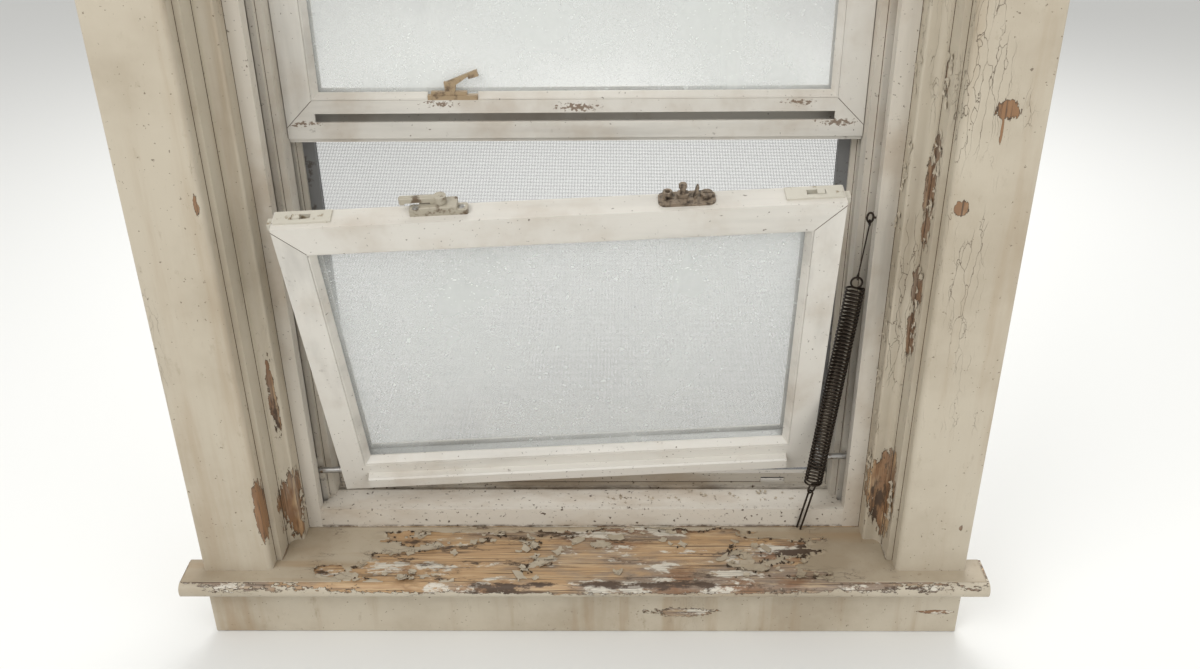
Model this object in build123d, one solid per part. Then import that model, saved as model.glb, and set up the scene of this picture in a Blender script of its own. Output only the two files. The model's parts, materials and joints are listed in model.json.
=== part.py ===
from build123d import *
import math
import os

os.makedirs("parts", exist_ok=True)

# An old sash window with its wood surround: painted casings, stool and apron around a vinyl
# double-hung unit. The lower sash has dropped out of square and leans into the room, and a
# long wire spring is hooked beside it. All sizes are in millimetres. X runs along the wall,
# Y goes from the room to the outdoors and Z is up. Y = 0 is the wall face that the casings
# lie on, and the origin is the centre of the back of the apron.

# Wood surround
apron_overhang = 1.0
apron_height = 80.0
apron_thickness = 20.0
apron_lap = 2.0
stool_horn = 23.0
stool_thickness = 20.0
stool_nosing = 30.0
stool_nose_radius = 9.0
casing_width = 85.0
casing_thickness = 20.0
casing_reveal = 7.0
casing_edge_radius = 6.0
casing_outer_radius = 2.0
shim_space = 6.0
jamb_thickness = 19.0
jamb_depth = 190.0
stop_depth = 36.0
stop_cove_radius = 9.0
stop_bead_radius = 3.0
left_stop_thickness = 18.5
right_stop_thickness = 22.5
head_stop_thickness = 18.5
blind_stop_width = 22.0
wood_sill_thickness = 35.0
wood_sill_reach = 215.0
wood_sill_fall = 18.0
drip_groove = 6.0
drip_inset = 14.0
head_gap = 3.0

# Vinyl unit. Its side profile steps inwards from the outer face, and the lip is what the
# inner steps are measured from
unit_centre = -4.0
unit_front = 67.0
unit_depth = 105.0
unit_half = 372.0
lip_setback = 34.0
bead_step = 4.0
upper_track_step = 12.0
rib_step = 18.5
screen_track_step = 11.0
flange_step = 22.0
unit_wall = 3.0
lip_length = 18.0
slot_width = 13.0
track_step = 39.0
rib_start = 87.0
screen_track_start = 92.0
screen_track_end = 101.5
pocket_start = 11.0
pocket_end = 45.0
upper_pocket_start = 63.0
upper_pocket_end = 84.0
upper_slot_start = 67.0
upper_slot_width = 12.0
chamber_start = 48.5
chamber_end = 59.5
screen_chamber_wall = 4.0

# Vinyl sill, its heights above the stool
sill_lip_height = 27.6
sill_lip_width = 6.0
sill_tread_height = 25.0
sill_tread_end = 21.5
sill_groove_start = 51.0
sill_groove_width = 7.0
sill_groove_floor = 15.0
sill_upstand_foot = 20.8
sill_upstand_start = 69.0
sill_upstand_width = 8.0
sill_upstand_top = 34.8
sill_back_height = 1.0
weep_inset = 83.0
weep_length = 32.0
weep_height = 7.5

# Fixings of the vinyl unit in the wood
fixing_radius = 2.0
fixing_head_radius = 4.2
fixing_head_height = 2.4
fixing_length = 22.0
fixing_clearance = 0.15
fixing_heights = (300.0, 800.0)
fixing_line = 40.5
shim_width = 60.0
shim_height = 90.0

# Sash members, both sashes
sash_wall = 3.0
glass_rebate = 6.0
outer_leg = 2.5
outer_leg_reach = 7.5
pane_thickness = 3.0
glass_play = 0.8
spacer_width = 8.0
glazing_clearance = 0.2
bead_reach = 7.5
bead_face_setback = 1.0

# Lower sash
lower_side_play = 34.0
lower_height = 427.0
lower_depth = 30.0
lower_stile = 31.0
lower_top_rail = 35.0
lower_bottom_rail = 45.0
lower_bead_depth = 11.0
lift_inset = 34.0
lift_reach = 11.0
lift_wall = 3.0
lift_low = 14.0
lift_high = 30.0
heel_chamfer = 3.0

# Pose of the lower sash as it hangs now
lower_tilt = math.degrees(0.2612)
lower_rack = math.degrees(0.0319)
lower_skew = math.degrees(0.035)
hang_x = -7.9
hang_y = 96.9
hang_z = 141.9
pivot_inset = 15.0
pivot_setback = 20.0

# Pivots, shoes and balances
pivot_radius = 4.0
pivot_clearance = 0.3
pivot_engagement = 8.0
shoe_clearance = 0.5
shoe_height = 30.0
shoe_depth = 32.0
crank_thickness = 5.0
crank_height = 10.0
crank_gap = 8.0
stub_size = 8.0
stub_length = 12.0
tube_radius = 7.0
tube_bore = 5.0
tube_wall_gap = 0.2
rod_radius = 2.5
lower_lift = 300.0
lower_rod_length = 400.0
upper_drop = 400.0
tube_margin = 6.0
rod_overlap = 20.0

# Upper sash
upper_side_play = 2.0
upper_height = 430.0
upper_depth = 26.0
upper_stile = 31.0
upper_top_rail = 35.0
upper_bottom_rail = 44.4
upper_bead_depth = 9.0
upper_front = 127.0
upper_above_stool = 507.6
upper_head_clearance = 1.5
pull_groove_inset = 33.0
pull_groove_height = 10.0
pull_groove_depth = 5.0
pull_groove_low = 19.4
interlock_height = 5.0
interlock_setback = 4.0
upper_shoe_height = 28.0

# Insect screen
screen_bar_width = 21.0
screen_bar_depth = 8.5
screen_play = 0.5
screen_height = 550.0
screen_cloth_thickness = 0.8

# Tilt latches on the lower sash
latch_length = 60.0
latch_width = 20.0
latch_plate = 2.0
latch_body_width = 16.0
latch_body_depth = 13.0
latch_body_inset = 3.0
latch_front = 8.0
latch_end_gap = 2.0
bolt_cover = 3.0
thumb_slot_depth = 6.0
thumb_slot_offset = 2.0
thumb_foot = 4.0
bolt_width = 11.0
bolt_height = 7.0
bolt_length = 44.0
bolt_tongue = 6.0
bolt_clearance = 0.3
bolt_travel = 10.0
thumb_slot_length = 20.0
thumb_slot_width = 8.0
thumb_length = 8.0
thumb_rise = 1.2

# Left sash lock
lock_centre = -124.5
lock_front = 11.0
lock_length = 61.0
lock_body_length = 40.0
lock_body_depth = 19.0
lock_body_height = 10.5
lock_edge_radius = 2.0
lug_size = 13.0
lug_height = 6.0
lug_hole_radius = 2.2
lock_screw_radius = 1.9
lock_screw_head = 3.6
lever_length = 43.0
lever_width = 7.0
lever_height = 8.0
lever_hub_radius = 6.5
lever_end_radius = 3.0
lever_edge_radius = 1.5
lever_gap = 0.3
lever_pin_radius = 2.5
lever_pin_length = 5.0
lever_hub_offset = 2.5

# Wrecked right sash lock
wreck_centre = 134.0
wreck_front = 6.5
wreck_length = 60.0
wreck_depth = 24.0
wreck_plate = 1.8
wreck_boss_radius = 5.0
wreck_boss_height = 8.0
wreck_boss_hole = 2.8
wreck_post_radius = 4.2
wreck_post_height = 17.0
wreck_post_cap = 5.0
wreck_post_offset = -4.0
wreck_boss_inset = 10.0
wreck_lug_inset = 9.0
wreck_lug_height = 4.0
wreck_row = 14.4
wreck_tab_length = 24.0
wreck_tab_width = 7.0
wreck_tab_thickness = 2.2

# Broken latch on the upper sash
keeper_centre = -139.0
keeper_length = 56.0
keeper_width = 8.0
keeper_height = 5.0
keeper_step_length = 40.0
keeper_step_height = 4.0
keeper_inset = 0.4
keeper_gap = 0.3
arm_foot_length = 11.0
arm_foot_height = 11.0
arm_thickness = 4.0
arm_length = 36.0
arm_depth = 5.0
arm_rise = 22.0
arm_tip_length = 9.0
arm_tip_extra = 3.0
arm_foot_offset = -17.0

# Stay spring, its screw eye, link and tail
eye_wire = 1.3
eye_width = 9.6
eye_height = 14.0
eye_setback = 6.5
eye_y = 73.0
eye_z = 491.0
eye_shank = 12.0
eye_play = 0.2
hook_play = 0.3
link_wire = 0.9
link_ring = 3.2
coil_radius = 11.5
coil_wire = 2.6
coil_turns = 58
coil_sides = 9
coil_top_z = 406.0
coil_bottom_z = 134.5
pull_lean = 27.7
pull_y = 61.3
pull_z = 235.0
coil_bore = 8.6
loop_radius = 6.5
loop_wire = 1.3
loop_turn = 40.0
tail_wire = 1.3
tail_half_gap = 3.0
tail_end_lean = 50.0
tail_end_y = 63.0

# How far a cutter runs on past what it cuts
overrun = 20.0

# Derived widths, from the middle or over the whole
lip_half = unit_half - lip_setback
bead_half = lip_half - bead_step
upper_track_half = lip_half - upper_track_step
rib_half = lip_half - rib_step
screen_track_half = lip_half - screen_track_step
flange_half = lip_half - flange_step
jamb_inner = unit_half + shim_space
jamb_outer = jamb_inner + jamb_thickness
casing_inner = jamb_inner + casing_reveal
casing_outer = casing_inner + casing_width
apron_length = 2 * (casing_outer + apron_overhang)
stool_length = apron_length + 2 * stool_horn
lower_width = 2 * flange_half - lower_side_play
upper_width = 2 * upper_track_half - upper_side_play
lift_length = lower_width - 2 * lift_inset
pull_groove_length = upper_width - 2 * pull_groove_inset
weep_centre = lip_half - weep_inset
eye_x = unit_centre + lip_half - eye_setback
pull_x = eye_x - pull_lean
tail_end_x = eye_x - tail_end_lean

# Derived places
stool_top = apron_height / 2 + stool_thickness
stool_bottom = apron_height / 2
unit_back = unit_front + unit_depth
wood_slope = wood_sill_fall / (wood_sill_reach - unit_front)
upper_bottom = stool_top + upper_above_stool
upper_top = upper_bottom + upper_height
unit_head_lip = upper_top + upper_head_clearance + (lip_half - upper_track_half)
unit_top = unit_head_lip + (unit_half - lip_half)
jamb_top = unit_top + head_gap
casing_top = jamb_top + (casing_inner - jamb_inner)
across_x = Plane.YZ
across_z = Plane.XY
across_y = Plane(origin=(0, 0, 0), x_dir=(1, 0, 0), z_dir=(0, -1, 0))


def box(x0, x1, y0, y1, z0, z1):
    middle = Pos((x0 + x1) / 2, (y0 + y1) / 2, (z0 + z1) / 2)
    return middle * Box(x1 - x0, y1 - y0, z1 - z0)


def prism(points, plane, start, end):
    """A polygon on a plane, drawn out along the plane's normal from start to end."""
    outline = plane.offset(start) * Polygon(*points, align=None)
    return extrude(outline, amount=end - start, dir=plane.z_dir)


def rod(start, end, radius):
    """A round bar between two points."""
    first, last = Vector(*start), Vector(*end)
    run = last - first
    place = Plane(origin=first, z_dir=run)
    return extrude(place * Circle(radius), amount=run.length, dir=run.normalized())


def wire(points, radius, rounding):
    """A bent wire through the points, with round corners of one radius."""
    path = FilletPolyline(*points, radius=rounding)
    start = Plane(origin=path @ 0, z_dir=path % 0)
    return sweep(start * Circle(radius), path=path)


def flip(solid):
    return mirror(solid, about=Plane.YZ)


def write(name, *solids):
    shape = solids[0] if len(solids) == 1 else Compound(children=[s for s in solids])
    export_step(shape, f"parts/{name}.step")


def slope_z(y):
    """Height of the sloping wood sill under the vinyl unit."""
    return stool_bottom - max(0.0, y - unit_front) * wood_slope


# Casings, stool and apron
def side_casing():
    board = box(casing_inner, casing_outer, -casing_thickness, 0, stool_top, casing_top)
    inner = board.edges().filter_by(Axis.Z).sort_by(Axis.X)[0:2].sort_by(Axis.Y)[0]
    board = fillet(inner, casing_edge_radius)
    outer = board.edges().filter_by(Axis.Z).sort_by(Axis.X)[-2:].sort_by(Axis.Y)[0]
    return fillet(outer, casing_outer_radius)


def head_casing():
    board = box(-casing_outer, casing_outer, -casing_thickness, 0,
                casing_top, casing_top + casing_width)
    front = board.edges().filter_by(Axis.X).sort_by(Axis.Y)[0:2].sort_by(Axis.Z)
    return fillet(front, casing_outer_radius)


def stool():
    nose = -casing_thickness - stool_nosing
    board = box(-stool_length / 2, stool_length / 2, nose, 0, stool_bottom, stool_top)
    edges = board.edges().filter_by(Axis.X).sort_by(Axis.Y)[0:2]
    board = fillet(edges, stool_nose_radius)
    inner = box(-jamb_inner, jamb_inner, 0, unit_front, stool_bottom, stool_top)
    return board + inner


def apron():
    """Apron board, its back rebated where it laps over the front edge of the wood sill."""
    board = box(-apron_length / 2, apron_length / 2, -apron_thickness, 0,
                -apron_height / 2, apron_height / 2)
    low = board.edges().filter_by(Axis.X).sort_by(Axis.Z)[0:2].sort_by(Axis.Y)[0]
    lap = box(-apron_length / 2 - 1, apron_length / 2 + 1, -apron_lap, 1,
              stool_bottom - wood_sill_thickness, stool_bottom + 1)
    return fillet(low, casing_outer_radius) - lap


write("casing_right", side_casing())
write("casing_left", flip(side_casing()))
write("casing_head", head_casing())
write("stool", stool())
write("apron", apron())


# Wood jambs, sill and stops
def fixing_places():
    return [(unit_front + fixing_line, z) for z in fixing_heights]


def wood_jamb(side):
    points = [(0, stool_bottom), (unit_front, stool_bottom), (jamb_depth, slope_z(jamb_depth)),
              (jamb_depth, jamb_top + jamb_thickness), (0, jamb_top + jamb_thickness)]
    board = prism(points, across_x, jamb_inner, jamb_outer)
    if side < 0:
        board = flip(board)
    for y, z in fixing_places():
        near = side * (jamb_inner - 1)
        far = side * (fixing_depth(side) + 1)
        board -= rod((near, y, z), (far, y, z), fixing_radius + fixing_clearance)
    return board


def fixing_depth(side):
    """How far out from the window's centre the tip of a fixing screw reaches."""
    return side * unit_centre + unit_half - unit_wall + fixing_length


def wood_sill():
    top = stool_bottom
    tip = stool_bottom - wood_sill_fall
    under = stool_bottom - wood_sill_thickness
    groove = wood_sill_reach - drip_inset
    points = [(0, under), (-apron_lap, under + apron_lap), (-apron_lap, top),
              (unit_front, top), (wood_sill_reach, tip),
              (wood_sill_reach, under), (groove, under), (groove, under + drip_groove / 2),
              (groove - drip_groove, under + drip_groove / 2), (groove - drip_groove, under)]
    return prism(points, across_x, -jamb_outer, jamb_outer)


def stop_profile(thickness, inner):
    """Moulded stop: a square back, a cove towards the room and a small bead at its face."""
    back = unit_front
    front = unit_front - stop_depth
    cove = min(stop_cove_radius, thickness - 2 * stop_bead_radius)
    face = inner - thickness
    bead = stop_bead_radius
    edge = [Line((inner, front), (inner - 2, front)),
            ThreePointArc((inner - 2, front),
                          (inner - 2 - cove * 0.3, front + cove * 0.7),
                          (inner - 2 - cove, front + cove)),
            Line((inner - 2 - cove, front + cove), (face + bead, front + cove)),
            ThreePointArc((face + bead, front + cove),
                          (face + bead * 0.29, front + cove + bead * 0.29),
                          (face, front + cove + bead)),
            Line((face, front + cove + bead), (face, back)),
            Line((face, back), (inner, back)),
            Line((inner, back), (inner, front))]
    return make_face(Curve() + edge)


def side_stop(thickness):
    outline = Pos(0, 0, stool_top) * stop_profile(thickness, jamb_inner)
    return extrude(outline, amount=jamb_top - stool_top, dir=(0, 0, 1))


def head_stop():
    upright = Plane(origin=(0, 0, jamb_top - jamb_inner), x_dir=(0, 0, 1), z_dir=(-1, 0, 0))
    outline = upright * stop_profile(head_stop_thickness, jamb_inner)
    reach = jamb_inner - left_stop_thickness
    other = jamb_inner - right_stop_thickness
    bar = extrude(outline, amount=reach + other, dir=(1, 0, 0))
    return Pos(-reach, 0, 0) * bar


def blind_stop_side():
    y0, y1 = unit_back, jamb_depth
    points = [(y0, slope_z(y0)), (y1, slope_z(y1)), (y1, jamb_top), (y0, jamb_top)]
    return prism(points, across_x, jamb_inner - blind_stop_width, jamb_inner)


def blind_stop_head():
    reach = jamb_inner - blind_stop_width
    return box(-reach, reach, unit_back, jamb_depth, jamb_top - blind_stop_width, jamb_top)


write("wood_jamb_right", wood_jamb(1))
write("wood_jamb_left", wood_jamb(-1))
write("wood_jamb_head", box(-jamb_inner, jamb_inner, 0, jamb_depth,
                            jamb_top, jamb_top + jamb_thickness))
write("wood_sill", wood_sill())
write("stop_right", side_stop(right_stop_thickness))
write("stop_left", flip(side_stop(left_stop_thickness)))
write("stop_head", head_stop())
write("blind_stops", blind_stop_side(), flip(blind_stop_side()), blind_stop_head())


# Vinyl unit
def unit_outline():
    """Side profile of the vinyl frame, across X from its centre and back along Y."""
    slot_end = lip_length + slot_width
    return [(unit_half, 0), (lip_half, 0), (lip_half, slot_end - slot_width / 2),
            (bead_half, slot_end - slot_width / 2), (bead_half, track_step),
            (upper_track_half, track_step), (upper_track_half, rib_start),
            (rib_half, rib_start), (rib_half, screen_track_start),
            (screen_track_half, screen_track_start), (screen_track_half, screen_track_end),
            (flange_half, screen_track_end), (flange_half, unit_depth),
            (unit_half, unit_depth)]


def unit_jamb_right():
    """Right jamb about the unit's centre line, with the pockets that the shoes run in."""
    bottom = slope_z(unit_back)
    place = Pos(0, unit_front, 0)
    post = place * prism(unit_outline(), across_z, bottom, unit_top)
    outer = unit_half - unit_wall
    pocket_wall = lip_half + unit_wall
    rear_wall = upper_track_half + unit_wall
    slot_end = lip_length + slot_width
    upper_slot_end = upper_slot_start + upper_slot_width
    hollows = [(pocket_wall, outer, pocket_start, pocket_end),
               (rib_half, pocket_wall, lip_length, slot_end),
               (rear_wall + 1, outer, chamber_start, chamber_end),
               (rear_wall, outer, upper_pocket_start, upper_pocket_end),
               (rib_half, rear_wall, upper_slot_start, upper_slot_end),
               (screen_track_half + screen_chamber_wall, outer, rib_start + unit_wall,
                unit_depth - unit_wall)]
    for x0, x1, y0, y1 in hollows:
        post -= place * box(x0, x1, y0, y1, bottom - 1, unit_top + 1)
    under = [(unit_front - 1, bottom - 9), (unit_front - 1, stool_bottom),
             (unit_front, stool_bottom), (unit_back, bottom), (unit_back + 1, bottom - 9)]
    return post - prism(under, across_x, lip_half - 2 * overrun, unit_half + 1)


def unit_jamb(side):
    post = unit_jamb_right()
    if side < 0:
        post = flip(post)
    post = Pos(unit_centre, 0, 0) * post
    for y, z in fixing_places():
        post -= fixing_tool(side, y, z)
    return post


def fixing_profile(clearance):
    """Half outline of a countersunk screw, its head at the top of a vertical axis."""
    shank = fixing_radius + clearance
    head = fixing_head_radius + clearance
    return [(0, 0), (head, 0), (shank, -fixing_head_height), (shank, -fixing_length),
            (0, -fixing_length)]


def turned(profile):
    outline = Plane.XZ * Polygon(*profile, align=None)
    return revolve(outline, axis=Axis.Z)


def fixing_at(side, y, z, clearance):
    seat = side * (unit_half - unit_wall) + unit_centre
    lay = Rot(0, -90 * side, 0)
    return Pos(seat, y, z) * lay * turned(fixing_profile(clearance))


def fixing_tool(side, y, z):
    return fixing_at(side, y, z, fixing_clearance)


def unit_head():
    shift = unit_head_lip - lip_half
    points = [(unit_front + y, x + shift) for x, y in unit_outline()]
    bar = prism(points, across_x, -lip_half, lip_half)
    low = unit_head_lip + unit_wall
    high = unit_top - unit_wall
    for y0, y1 in ((unit_wall, track_step - unit_wall), (track_step, chamber_end),
                   (upper_pocket_start, upper_pocket_end)):
        bar -= box(-unit_half, unit_half, unit_front + y0, unit_front + y1, low, high)
    return Pos(unit_centre, 0, 0) * bar - both_jambs_space()


def both_jambs_space():
    """Everything outside the jambs' inner faces, as one cutter."""
    space = Part()
    for side in (-1, 1):
        points = [(unit_half + overrun, -5)] + unit_outline()[1:-1]
        points = [(side * x, unit_front + y) for x, y in points]
        points = points + [(side * (unit_half + overrun), unit_front + unit_depth)]
        space += prism(points, across_z, 0, unit_top + 5)
    return Pos(unit_centre, 0, 0) * space


def sill_points():
    """Section of the vinyl sill: front lip, tread, groove, upstand and back ledge."""
    y, z = unit_front, stool_top
    tread_start = y + sill_lip_width + 1.5
    groove = y + sill_groove_start
    groove_back = groove + sill_groove_width
    upstand = y + sill_upstand_start
    return [(y, stool_bottom), (y, z + sill_lip_height),
            (y + sill_lip_width, z + sill_lip_height), (tread_start, z + sill_tread_height),
            (groove, z + sill_tread_end), (groove, z + sill_groove_floor),
            (groove_back, z + sill_groove_floor), (groove_back, z + sill_upstand_foot),
            (upstand, z + sill_upstand_foot), (upstand, z + sill_upstand_top),
            (upstand + sill_upstand_width, z + sill_upstand_top),
            (upstand + sill_upstand_width, z + sill_back_height),
            (unit_back, z + sill_back_height), (unit_back, slope_z(unit_back))]


def unit_sill():
    bar = prism(sill_points(), across_x, -lip_half, lip_half)
    wall = unit_wall + 1
    chambers = [(unit_front + wall, unit_front + sill_groove_start - wall),
                (unit_front + sill_groove_start, unit_back - wall)]
    tops = (stool_top + sill_tread_end - wall, stool_top + sill_back_height - wall)
    for (y0, y1), top in zip(chambers, tops):
        bar -= box(-lip_half - 1, lip_half + 1, y0, y1, stool_bottom + wall - 1, top)
    low = stool_top + sill_upstand_foot
    y = unit_front + sill_upstand_start
    slot = box(weep_centre - weep_length / 2, weep_centre + weep_length / 2,
               y - 1, y + sill_upstand_width + 1, low, low + weep_height)
    return Pos(unit_centre, 0, 0) * (bar - slot) - both_jambs_space()


eye_seat = rod((eye_x, eye_y, eye_z), (unit_centre + lip_half + eye_shank + eye_play, eye_y, eye_z),
               eye_wire + eye_play)
write("unit_jamb_right", unit_jamb(1) - eye_seat)
write("unit_jamb_left", unit_jamb(-1))
write("unit_head", unit_head())
write("unit_sill", unit_sill())
write("fixing_screws", *[fixing_at(side, y, z, 0)
                         for side in (-1, 1) for y, z in fixing_places()])


def shim(side, z):
    x0 = side * unit_half + unit_centre
    x1 = side * jamb_inner
    low, high = sorted((x0, x1))
    block = box(low, high, unit_front + 10, unit_front + 10 + shim_width,
                z - shim_height / 2, z + shim_height / 2)
    y = unit_front + fixing_line
    return block - rod((low - 1, y, z), (high + 1, y, z), fixing_radius + fixing_clearance)


write("shims", *[shim(side, z) for side in (-1, 1) for z in fixing_heights])


# Balance tubes hang in the jamb pockets, and their rods stand on the shoes
lower_line = unit_front + lip_length + slot_width / 2
upper_line = unit_front + upper_slot_start + upper_slot_width / 2
tube_line = unit_half - unit_wall - tube_wall_gap - tube_radius
tube_top = unit_top - unit_wall
axis_slope = math.tan(math.radians(lower_rack))


def balance_tube(side, y, bottom):
    x = unit_centre + side * tube_line
    tube = rod((x, y, bottom), (x, y, tube_top), tube_radius)
    return tube - rod((x, y, bottom - 1), (x, y, tube_top - 10), tube_bore)


def balance_rod(side, y, bottom, length):
    x = unit_centre + side * tube_line
    return rod((x, y, bottom), (x, y, bottom + length), rod_radius)


# The lower sash is built upright in its own frame: X across from its middle, Y back from
# its front face and Z up from its bottom edge. Its hang then leans it into the room.
sash_turn = Rot(0, 0, lower_skew) * Rot(0, -lower_rack, 0) * Rot(lower_tilt, 0, 0)
hang = Pos(hang_x, hang_y, hang_z) * sash_turn * Pos(0, -lower_depth / 2, -pivot_inset)


def hung_point(x, y, z):
    """Where a point of the upright lower sash is as the sash hangs."""
    return (hang * Pos(x, y, z)).position


left_pivot = hung_point(-lower_width / 2, pivot_setback, pivot_inset)


def axis_point(x):
    """The point of the hinge axis at one X: it is level in Y and rises to the right."""
    return (x, left_pivot.Y, left_pivot.Z + (x - left_pivot.X) * axis_slope)


def member_outline(face, depth, bead_depth):
    """Section of a sash member: across from its outer edge, and back from its face."""
    pocket = face - glass_rebate
    return [(0, 0), (face, 0), (face, bead_depth), (pocket, bead_depth),
            (pocket, depth - outer_leg), (face + outer_leg_reach, depth - outer_leg),
            (face + outer_leg_reach, depth), (0, depth)]


def sash(width, height, depth, stile, top, bottom, bead_depth):
    """The four mitred hollow members of a sash, upright, in the order left, right, top, bottom."""
    half = width / 2
    reach = 2 * bottom
    low_cut = bottom - stile
    high_cut = height - top + stile

    def stile_member():
        outline = [(a - half, w) for a, w in member_outline(stile, depth, bead_depth)]
        post = prism(outline, across_z, 0, height)
        post -= box(sash_wall - half, stile - glass_rebate - sash_wall - half,
                    sash_wall, depth - sash_wall, -1, height + 1)
        below = [(-half - reach, low_cut - reach), (-half + reach, low_cut + reach),
                 (-half + reach, -reach), (-half - reach, -reach)]
        above = [(-half - reach, high_cut + reach), (-half + reach, high_cut - reach),
                 (-half + reach, height + reach), (-half - reach, height + reach)]
        for cut in (below, above):
            post -= prism(cut, across_y, -depth - 1, 1)
        return post

    def rail_member(face, turned_over):
        outline = [(w, a) for a, w in member_outline(face, depth, bead_depth)]
        bar = prism(outline, across_x, -half, half)
        bar -= box(-half - 1, half + 1, sash_wall, depth - sash_wall,
                   sash_wall, face - glass_rebate - sash_wall)
        cut = face - stile
        above = [(-half - reach, cut - reach), (-half + reach, cut + reach),
                 (-half - reach, cut + reach)]
        wedge = prism(above, across_y, -depth - 1, 1)
        bar = bar - wedge - flip(wedge)
        if turned_over:
            bar = Pos(0, 0, height) * mirror(bar, about=Plane.XY)
        return bar

    left = stile_member()
    return left, flip(left), rail_member(top, True), rail_member(bottom, False)


def glazing_beads(width, height, stile, top, bottom, bead_depth):
    """Sloping snap-in beads in front of the glass, mitred at the corners."""
    gap = glazing_clearance
    outline = [(gap, bead_face_setback), (2, bead_face_setback), (bead_reach, bead_depth - 2),
               (bead_reach, bead_depth - gap), (gap, bead_depth - gap)]
    x0, x1 = stile - width / 2, width / 2 - stile
    z0, z1 = bottom, height - top
    reach = 3 * bead_reach

    def strip(length):
        bar = prism([(w, a) for a, w in outline], across_x, -length / 2, length / 2)
        for side in (-1, 1):
            end = side * length / 2
            cut = [(end, 0), (end - side * reach, reach), (end, reach)]
            bar -= prism(cut, across_y, -bead_depth - 1, 1)
        return bar

    low = Pos((x0 + x1) / 2, 0, z0) * strip(x1 - x0)
    high = Pos((x0 + x1) / 2, 0, z1) * Rot(0, 180, 0) * strip(x1 - x0)
    left = Pos(x0, 0, (z0 + z1) / 2) * Rot(0, 90, 0) * strip(z1 - z0)
    right = Pos(x1, 0, (z0 + z1) / 2) * Rot(0, -90, 0) * strip(z1 - z0)
    return low, high, left, right


def glass(width, height, depth, stile, top, bottom, bead_depth):
    """Inner pane, outer pane and the spacer between them, clear of the rebate all round."""
    edge = glass_rebate - glass_play
    x0, x1 = stile - edge - width / 2, width / 2 - stile + edge
    z0, z1 = bottom - edge, height - top + edge
    back = depth - outer_leg - glazing_clearance
    inner = box(x0, x1, bead_depth, bead_depth + pane_thickness, z0, z1)
    outer = box(x0, x1, back - pane_thickness, back, z0, z1)
    y0, y1 = bead_depth + pane_thickness, back - pane_thickness
    ring = box(x0 + 1, x1 - 1, y0, y1, z0 + 1, z1 - 1)
    inside = spacer_width + 1
    ring -= box(x0 + inside, x1 - inside, y0 - 1, y1 + 1, z0 + inside, z1 - inside)
    return inner, outer, ring


# Lower sash
lower_size = (lower_width, lower_height, lower_depth, lower_stile, lower_top_rail,
              lower_bottom_rail, lower_bead_depth)


def latch_place(side):
    """Middle of a tilt latch along the top rail, mirrored for the right one."""
    return side * (lower_width / 2 - latch_end_gap - latch_length / 2)


def latch_pocket(side, gap):
    x = latch_place(side)
    y0 = latch_front + (latch_width - latch_body_width) / 2
    return box(x - latch_length / 2 + latch_body_inset - gap,
               x + latch_length / 2 - latch_body_inset + gap,
               y0 - gap, y0 + latch_body_width + gap,
               lower_height - latch_body_depth - gap, lower_height)


def bolt_space(side, gap):
    """Room of the latch bolt: through the stile's side into the latch body."""
    y = latch_front + latch_width / 2
    outer = side * (lower_width / 2 + bolt_tongue)
    inner = side * (lower_width / 2 + bolt_tongue - bolt_length)
    x0, x1 = sorted((outer, inner - side * (bolt_travel + 1) if gap else inner))
    z1 = lower_height - bolt_cover
    return box(x0 - gap, x1 + gap, y - bolt_width / 2 - gap, y + bolt_width / 2 + gap,
               z1 - bolt_height - gap, z1 + gap)


def lower_members():
    left, right, top, bottom = sash(*lower_size)
    for side in (-1, 1):
        top = top - latch_pocket(side, bolt_clearance) - bolt_space(side, bolt_clearance)
    left = left - latch_pocket(-1, bolt_clearance) - bolt_space(-1, bolt_clearance)
    right = right - latch_pocket(1, bolt_clearance) - bolt_space(1, bolt_clearance)
    hole = pivot_radius + pivot_clearance + 0.4
    left -= rod((-lower_width / 2 - 1, pivot_setback, pivot_inset),
                (-lower_width / 2 + sash_wall + 1, pivot_setback, pivot_inset), hole)
    socket = stub_size / 2 + pivot_clearance
    middle = lower_depth / 2
    right -= box(lower_width / 2 - stub_length - 1, lower_width / 2 + 1,
                 middle - socket, middle + socket, pivot_inset - socket, pivot_inset + socket)
    lift = prism([(0, lift_high), (0, lift_high - lift_wall),
                  (lift_wall - lift_reach, lift_high - lift_wall),
                  (lift_wall - lift_reach, lift_low), (-lift_reach, lift_low),
                  (-lift_reach, lift_high - 2), (2 - lift_reach, lift_high)],
                 across_x, -lift_length / 2, lift_length / 2)
    heel = prism([(lower_depth, 0), (lower_depth - heel_chamfer, 0),
                  (lower_depth, heel_chamfer)], across_x, -lower_width, lower_width)
    bottom = bottom + lift - heel
    return left - heel, right - heel, top, bottom


stile_left, stile_right, rail_top, rail_bottom = lower_members()
write("lower_stile_left", hang * stile_left)
write("lower_stile_right", hang * stile_right)
write("lower_top_rail", hang * rail_top)
write("lower_bottom_rail", hang * rail_bottom)
lower_beads = glazing_beads(lower_width, lower_height, lower_stile, lower_top_rail,
                            lower_bottom_rail, lower_bead_depth)
write("lower_glazing_beads", *[hang * bead for bead in lower_beads])
inner_pane, outer_pane, spacer = glass(*lower_size)
write("lower_panes", hang * inner_pane, hang * outer_pane)
write("lower_glass_spacer", hang * spacer)


# Pivot bars and shoes of the lower sash
pocket_face = lip_half + unit_wall


def pivot_bar_left():
    """Straight pin along the hinge axis, from inside the stile to the shoe."""
    start = axis_point(left_pivot.X + sash_wall)
    end = axis_point(unit_centre - pocket_face - pivot_engagement)
    collar_end = axis_point(left_pivot.X - 2.5)
    collar_start = axis_point(left_pivot.X - 0.8)
    return rod(start, end, pivot_radius) + rod(collar_start, collar_end, pivot_radius + 2.5)


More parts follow.
